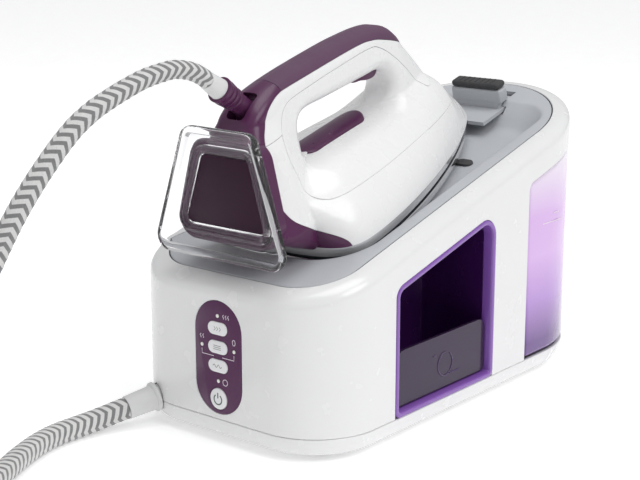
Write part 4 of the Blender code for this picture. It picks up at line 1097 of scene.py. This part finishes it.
def polygonise(field, low, high):
    """Quads on the zero level of field(x, u, w), found cell by cell on a grid."""
    step = FORM_STEP
    axes = [np.arange(a - 2 * step, b + 3 * step, step) for a, b in zip(low, high)]
    grid = np.broadcast_to(field(axes[0][:, None, None], axes[1][None, :, None],
                                 axes[2][None, None, :]), [len(a) for a in axes])
    values = np.array(grid, np.float32)
    inside = values < 0
    count = np.zeros([n - 1 for n in values.shape], np.int8)
    for i in (0, 1):
        for j in (0, 1):
            for k in (0, 1):
                count += inside[i:i + count.shape[0], j:j + count.shape[1], k:k + count.shape[2]]
    cells = np.argwhere((count > 0) & (count < 8))
    number = np.full(count.shape, -1, np.int64)
    number[tuple(cells.T)] = np.arange(len(cells))
    corners = [(i, j, k) for i in (0, 1) for j in (0, 1) for k in (0, 1)]
    at = {c: values[tuple((cells + c).T)] for c in corners}
    total, hits = np.zeros((len(cells), 3)), np.zeros(len(cells))
    for c in corners:
        for axis in range(3):
            if c[axis]:
                continue
            d = tuple(v + (n == axis) for n, v in enumerate(c))
            a, b = at[c], at[d]
            mixed = (a < 0) != (b < 0)
            share = np.where(mixed, a / np.where(mixed, a - b, 1), 0)
            place = np.array(c, float)[None, :].repeat(len(cells), 0)
            place[:, axis] += share
            total += place * mixed[:, None]
            hits += mixed
    origin = np.array([a[0] for a in axes])
    points = origin + (cells + total / hits[:, None]) * step
    faces = []
    for axis in range(3):
        one, two = (axis + 1) % 3, (axis + 2) % 3
        near = np.moveaxis(inside, (axis, one, two), (0, 1, 2))
        ids = np.moveaxis(number, (axis, one, two), (0, 1, 2))
        start, end = near[:-1, 1:-1, 1:-1], near[1:, 1:-1, 1:-1]
        for outward in (True, False):
            i, j, k = np.nonzero(start & ~end if outward else ~start & end)
            quad = np.stack([ids[i, j, k], ids[i, j + 1, k], ids[i, j + 1, k + 1], ids[i, j, k + 1]], 1)
            faces.append(quad if outward else quad[:, ::-1])
    for _ in range(3):
        points = settle(points, field, step)
    return points, np.concatenate(faces)


def settle(points, field, step):
    """The points moved onto the field's zero level."""
    tiny = 0.05
    value = field(*points.T)
    slope = np.stack([(field(*(points + shift).T) - field(*(points - shift).T)) / (2 * tiny)
                      for shift in np.eye(3) * tiny], 1)
    move = slope * (value / np.maximum((slope ** 2).sum(1), 0.05))[:, None]
    length = np.linalg.norm(move, axis=1, keepdims=True)
    return points - move * np.minimum(1, 0.4 * step / np.maximum(length, 1e-9))


def beside(line, distance, closed=False):
    """The line of (u, w) points moved to the left of its run where distance is positive."""
    points = [Vector(p) for p in line]
    count = len(points)
    moved = []
    for i, here in enumerate(points):
        before = points[i - 1] if closed or i else here
        after = points[(i + 1) % count] if closed or i < count - 1 else here
        first = (here - before).normalized() if here != before else (after - here).normalized()
        second = (after - here).normalized() if here != after else first
        left = Vector((-first.y - second.y, first.x + second.x)).normalized()
        stretch = max(left.dot(Vector((-first.y, first.x))), 0.4)
        moved.append(tuple(here + left * (distance / stretch)))
    return moved


def iron_form():
    """The fields of the iron's outer form over its side view."""
    u, w = np.meshgrid(Table.u, Table.w, indexing="ij")
    half = body_half(u, w)
    du, dw = np.gradient(half, Table.step)
    steep = np.sqrt(1 + np.minimum(du * du + dw * dw, 400))
    nose, back = eased(w, NOSE), eased(w, BACK)
    nose_slope = np.sqrt(1 + np.gradient(nose, Table.step, axis=1) ** 2)
    back_slope = np.sqrt(1 + np.gradient(back, Table.step, axis=1) ** 2)
    return {"half": Table(half), "steep": Table(steep), "front": Table((u - nose) / nose_slope),
            "back": Table((back - u) / back_slope),
            "hole": polygon_distance(smooth_ring(FINGER_HOLE, SEAM_STEP))}


def across(outline, half=90.0):
    """A prism through the iron, its outline in (u, w), reaching half to either side."""
    return prism(outline, -half, half, seen_from_right)


def swivel_slot():
    """The room in which the collar's neck swings, along the collar's middle line."""
    angle = math.pi - COLLAR_ANGLE - DECK_ANGLE
    along = Vector((0, math.cos(angle), math.sin(angle)))
    side = Vector((0, math.sin(angle), -math.cos(angle)))
    outline = corners_rounded(((-7.9, -11.4), (7.9, -11.4), (7.9, 11.4), (-7.9, 11.4)), (3.5,) * 4, 8)
    pivot = Vector((0, PIVOT_U, PIVOT_W))
    return loft([[pivot + along * reach + side * b + Vector((a, 0, 0)) for a, b in outline]
                 for reach in (2, 50)])


def iron_shells(mats):
    """The iron's skin as one smooth form, cut along its seams into the pieces it is made of."""
    form = iron_form()

    def body(x, u, w):
        side = (np.abs(x) - form["half"].at(u, w)) / form["steep"].at(u, w)
        ends = both(form["front"].at(u, w), form["back"].at(u, w), 1.0)
        skin = both(both(side, ends, 8.0), -form["hole"].at(u, w), HOLE_ROUND)
        return np.maximum(skin, SHELL_LOW - 4.0 - w)

    points, faces = polygonise(body, (-71, -174, 0), (71, 118, 121))
    skin = bpy.data.meshes.new("iron_form")
    skin.from_pydata((points * MM).tolist(), [], faces.tolist())
    half_gap = GAP / 2 + 0.02
    rear_line, grip_line, seam_top, seam_low = (
        [tuple(p) for p in smooth_line(line, SEAM_STEP)]
        for line in (REAR_LINE, GRIP_LINE, SEAM_TOP, SEAM_LOW))
    seam = seam_top + seam_low
    rear = across([(-108.2, 109.8), *beside(rear_line, -half_gap)[1:], (-119.2, -20), (-200, -20),
                   (-200, 140), (-108.2, 140)])
    ahead = across([*beside(rear_line, half_gap), (-118.8, -20), (200, -20), (200, 140),
                    (-107.8, 140)])
    grip = across([(-107.8, 109.8), *beside(grip_line, half_gap)[1:], (90, 87.1), (90, 140),
                   (-107.8, 140)])
    under_grip = across([(-200, 140), (-200, 109.3), (-108.4, 109.3),
                         *beside(grip_line, -half_gap)[1:], (90, 86.8), (90, 140)])
    saddle = across(beside(seam, -half_gap, closed=True))
    saddle_hole = across(beside(seam, half_gap, closed=True))
    cover = across(((-200, 86.2), (-100, 83.8), (-60, 83), (-20, 50), (200, 50), (200, 140),
                    (-200, 140)))
    skirt = across(((-200, 85.8), (-100, 83.4), (-90, 45), (60, 45), (200, 45), (200, SHELL_LOW),
                    (-200, SHELL_LOW)))
    foot = across(((-200, SHELL_LOW), (-200, -20), (200, -20), (200, SHELL_LOW)))
    drum = lathe(((0, -7.7), (9, -7.7), (9, 7.7), (0, 7.7)), (0, PIVOT_U, PIVOT_W), (1, 0, 0))
    room = stadium(LENS_HALF + GAP, LENS_LENGTH + 2 * GAP, 24)
    lens_room = loft([[(x, LENS_MIDDLE + u, w) for x, u in room] for w in (44.7, 59.0)])
    trigger_room = across(((-26, 70), (9, 70), (9, 93.5), (-26, 93.5)), 6.6)
    shells = (
        ("rear_skin", [rear], [foot, drum, swivel_slot()], "purple", "aubergine", "rear_shell"),
        ("grip_skin", [grip], [], "grip", "soft_grip", "grip_strip"),
        ("handle_skin", [ahead, cover], [under_grip, saddle_hole, drum, swivel_slot()], "iron",
         "iron_white", "handle_cover"),
        ("skirt_skin", [ahead, skirt], [saddle_hole], "iron", "iron_white", "body_skirt"),
        ("saddle_skin", [saddle], [lens_room, trigger_room], "iron", "iron_white", "saddle_shell"))
    to_world = Matrix.Translation((0, 0, DECK_Z * MM)) @ Matrix.Rotation(DECK_ANGLE, 4, "X")
    for name, areas, cutters, mat, slot_name, node in shells:
        mesh = carved(skin.copy(), [tool.copy() for tool in cutters], within=areas)
        mesh.transform(to_world)
        show(name, mesh, mats[mat], "iron", [node], sharp=60)


def lens(mats):
    def ring(inset, w, bow=LENS_BOW):
        return iron_to_world([(x, LENS_MIDDLE + u, w - bow * x * x)
                              for x, u in stadium(LENS_HALF - inset, LENS_LENGTH - 2 * inset, 24)])

    rings = [ring(0, 45, 0), ring(0, LENS_TOP - 0.8), ring(0.3, LENS_TOP - 0.3)]
    rings += [ring(inset, LENS_TOP) for inset in (1.0, 3.0, 5.5, 8.0, 10.0, 11.5)]
    show("lens_insert", loft(rings), mats["purple"], "iron", ["indicator_lens"])


def sole_ring(grow, w, count=90):
    """The sole's outline at a height, grown all round."""
    length = SOLE_TIP_U - SOLE_BACK_U
    u = SOLE_BACK_U + length * (1 - np.cos(np.linspace(0, np.pi, count))) / 2
    half = np.maximum(sole_half(u) + grow, 0.3)
    middle = (SOLE_TIP_U + SOLE_BACK_U) / 2
    u = middle + (u - middle) * (1 + 1.6 * grow / length)
    side = np.stack([half, u, np.full(count, w)], 1)
    other = side[::-1] * (-1, 1, 1)
    return iron_to_world(np.concatenate([side, other]))


def soleplate(mats):
    low, top, shell = SOLE_LOW, SOLE_TOP, SHELL_LOW
    plate = ((-5, low), (-2.4, low + 0.25), (-1.2, low + 0.8), (-0.5, low + 1.8), (-0.1, low + 3.4),
             (0, top - 0.6), (-0.5, top))
    # A dark ring set back between the sole plate and the shield band: painted shadow in the gap between
    # them
    shade_ring = ((-2.8, top + 0.1), (-2.8, top + 2.2), (-6, top + 2.2), (-6, top + 0.1))
    band = ((-2.4, top + 2.0), (-1.2, top + 2.0), (-0.5, top + 2.5), (0.3, 0), (1.0, shell - 1.0),
            (0.8, shell - GAP), (-4.5, shell - GAP), (-6, top + 2.6))
    for name, profile, closed, mat, slot, nodes in (
            ("sole_metal_plate", plate, False, "sole", "sole_metal", ["soleplate"]),
            ("sole_gap_shade", shade_ring, True, "seam", "shield_grey", ()),
            ("shield_band", band, True, "shield", "shield_grey", ["heat_shield"])):
        rings = [sole_ring(grow, w) for grow, w in profile]
        show(name, loft(rings, wrap=closed), mats[mat], "iron", nodes)


def trigger(mats):
    side = smooth_ring(((-22, 80.5), (-13, 78.6), (-6, 76.4), (2, 75.6), (6.6, 77.6), (8, 82),
                        (7.5, 88), (2, 90.5), (-6, 88), (-22, 84.5)), 1.0)
    rings = []
    centre = np.mean(side, axis=0)
    for x, inset in ((-5.8, 0.8), (-5.4, 0.2), (-4.8, 0), (4.8, 0), (5.4, 0.2), (5.8, 0.8)):
        outline = centre + (np.array(side) - centre) * (1 - inset / 8)
        rings.append(iron_to_world([(x, u, w) for u, w in outline]))
    show("trigger_lever", loft(rings), mats["purple"], "steam_trigger",
         ["steam_trigger"])


def heel(mats):
    """The clear stand at the iron's heel, the dark plate in it and the boss behind it."""
    def frame(top_half, low_half, top_z, low_z, radius, y, inset):
        corners = ((low_half - inset, low_z + inset), (top_half - inset * 0.7, top_z - inset),
                   (-top_half + inset * 0.7, top_z - inset), (-low_half + inset, low_z + inset))
        return [(x, y, z) for x, z in corners_rounded(corners, (max(radius - inset, 1.0),) * 4, 14)]

    def outer(*profile):
        return [frame(32, 62, 222.5, 132, 11, y, inset) for inset, y in profile]

    def inner(*profile):
        return [frame(25, 42, 207, 149, 9, y, inset) for inset, y in profile]

    rings = outer((0.1, -179.6), (0, -181), (0, -183.2), (0.35, -184.1), (1.2, -184.7), (2.2, -184.8),
                  (3.6, -184.8), (4.6, -184.5), (5.1, -183.8), (5.3, -182), (5.6, -180), (7.5, -179.2))
    rings += inner((-2.8, -176.9), (-1.2, -179.6), (-0.6, -180.4), (0.2, -180.8), (1.0, -180.8),
                   (1.3, -180.2), (1.6, -179.2), (2.4, -179.0), (2.7, -178.4), (2.9, -177.2),
                   (3.6, -177.0), (3.8, -176.4), (4.0, -175), (4.2, -173.4), (1.0, -173.2),
                   (-3.0, -173.8), (-5.6, -176.3))
    rings += outer((5.4, -177.4), (2.0, -178.2), (0.6, -178.8))
    show("heel_clear", loft(rings, wrap=True), mats["clear"], "iron",
         ["heel_stand"], sharp=50)
    surround = inner((4.9, -172.8), (-2.4, -172.8), (-5.2, -175.3), (-6.4, -175.3), (-7.0, -174.6),
                     (-6.0, -163), (4.9, -163))
    show("heel_surround", loft(surround, wrap=True), mats["purple"], "iron")
    plate = inner((4.6, -173.2), (4.6, -175.4), (4.9, -175.8), (5.6, -176.0))
    show("heel_backplate", loft(plate), mats["plate"], "iron", ["heel_plate"])


def swivel(mats):
    way = collar_way()
    start = Vector(pivot_world())
    profile = [(0, 3), (6.8, 3)]
    for foot, top, radius in ((18.5, 22.4, 8.0), (23.2, 26.8, 8.2), (27.6, 31.4, 8.8),
                              (32.2, 36.0, 9.1)):
        profile += [(radius - 0.9, foot - 0.4), (radius - 0.3, foot), (radius, foot + 0.4),
                    (radius + 0.3, top - 0.7), (radius + 0.2, top - 0.2), (radius - 0.3, top)]
    collar = lathe([*profile, (0, 36)], start, way, 56)
    hub = lathe(((0, -7), (7.8, -7), (8.2, -6.6), (8.2, 6.6), (7.8, 7), (0, 7)), start, (1, 0, 0), 56)
    show("swivel_collar", carved(hub, (), [collar]), mats["purple"], "hose_collar",
         ["hose_swivel"])


# ---------------------------------------------------------------- what stays of the CAD
def finish_cad(frame, mats):
    """Materials for the CAD nodes that are shown as they are."""
    finishes = {"white": ("tank_bulkhead",), "board": ("control_board",), "rubber": ("tank_seal",),
                "violet": ("filler_flap",), "steel": ("boiler",), "dark_metal": ("boiler_heater",),
                "brass": ("steam_valve",), "cast": ("steam_chamber",),
                "grey": ("tank_valve", "valve_seat", "boiler_bracket_left", "boiler_bracket_right",
                         "pump"),
                "silicone": ("inlet_pipe", "feed_pipe", "steam_pipe"),
                "soft_black": ("mains_gland", "trigger_switch")}
    for name, nodes in finishes.items():
        for node in nodes:
            held = frame["nodes"][node].data.materials
            held.clear()
            held.append(mats[name])


def all_materials():
    return {
        "white": moulded("gloss_white", (0.77, 0.77, 0.77), rough=0.25, coat=0.3, grain=0.003,
                         vary=0.006),
        "iron": moulded("iron_white", (0.80, 0.80, 0.80), rough=0.28, coat=0.2, grain=0.002,
                        vary=0.006),
        "button": moulded("button_white", (0.80, 0.80, 0.81), rough=0.35, grain=0.03),
        "deck": moulded("deck_grey", (0.47, 0.485, 0.51), rough=0.42, grain=0.05, grain_scale=1400.0),
        "grey": moulded("grey_plastic", (0.5, 0.52, 0.54), rough=0.5, grain=0.05),
        "purple": moulded("aubergine_gloss", (0.083, 0.021, 0.070), rough=0.32, coat=0.08, grain=0.03,
                          shine=0.35),
        "panel": moulded("panel_aubergine", (0.088, 0.026, 0.080), rough=0.34, coat=0.05, grain=0.02,
                         shine=0.3),
        "plate": moulded("dark_plate", (0.028, 0.006, 0.022), rough=0.35, grain=0.02, shine=0.2),
        "grip": moulded("soft_grip", (0.105, 0.048, 0.095), rough=0.6, grain=0.3, grain_scale=1800.0,
                        sheen=0.08, shine=0.3),
        "violet": moulded("violet_plastic", (0.22, 0.09, 0.40), rough=0.2, coat=0.3),
        "well": moulded("violet_well", (0.034, 0.006, 0.065), rough=0.25, coat=0.1, shine=0.3),
        "smoke": moulded("smoke_plastic", (0.048, 0.026, 0.068), rough=0.16, coat=0.04, clear=0.3,
                         shine=0.25),
        "tank": tank_with_painted_shade(),
        "clear": moulded("clear_plastic", (0.97, 0.97, 0.98), rough=0.03, grain=0.0, vary=0.005,
                         clear=0.98, ior=1.33),
        "soft_black": moulded("soft_black", (0.045, 0.045, 0.047), rough=0.7, grain=0.3,
                              grain_scale=1500.0),
        "rubber": moulded("rubber", (0.05, 0.05, 0.052), rough=0.75, grain=0.2),
        "sleeve": moulded("sleeve_grey", (0.66, 0.66, 0.66), rough=0.45, grain=0.06),
        "braid": braid(),
        "sole": brushed("polished_sole", (0.82, 0.82, 0.83), 0.14),
        "shield": moulded("shield_grey", (0.80, 0.80, 0.81), rough=0.16, coat=0.3, metal=0.5),
        "cast": moulded("cast_metal", (0.55, 0.55, 0.56), rough=0.5, grain=0.3, metal=1.0),
        "steel": brushed("steel", (0.62, 0.62, 0.64), 0.3, (900.0, 900.0, 30.0)),
        "dark_metal": moulded("dark_metal", (0.12, 0.12, 0.12), rough=0.5, grain=0.2, metal=1.0),
        "brass": moulded("brass", (0.68, 0.5, 0.2), rough=0.35, grain=0.1, metal=1.0),
        "silicone": moulded("silicone", (0.7, 0.7, 0.66), rough=0.5, grain=0.05),
        "board": moulded("circuit_board", (0.03, 0.2, 0.08), rough=0.45, grain=0.1),
        "lamp": moulded("lamp", (0.85, 0.85, 0.8), rough=0.2, coat=0.5),
        # Near black for the dark strips in the gaps at the deck rim and above the sole plate: painted
        # shade
        "seam": moulded("seam_grey", (0.035, 0.04, 0.05), rough=0.7),
        "sign": moulded("fence_sign", (0.085, 0.055, 0.12), rough=0.3),
        "print_dark": moulded("print_dark", (0.06, 0.1, 0.08), rough=0.5),
        "print_grey": moulded("print_grey", (0.22, 0.24, 0.23), rough=0.5),
        "print_light": moulded("print_light", (0.78, 0.70, 0.78), rough=0.5),
    }


# ---------------------------------------------------------------- build
for old in list(bpy.data.objects):
    bpy.data.objects.remove(old, do_unlink=True)
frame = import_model()
camera_and_light()
materials = all_materials()
for build in (hose, housing, deck, lock, pocket, panel, tank, feet, iron_shells, lens, soleplate,
              trigger, heel, swivel):
    build(materials)
finish_cad(frame, materials)
bpy.context.view_layer.update()
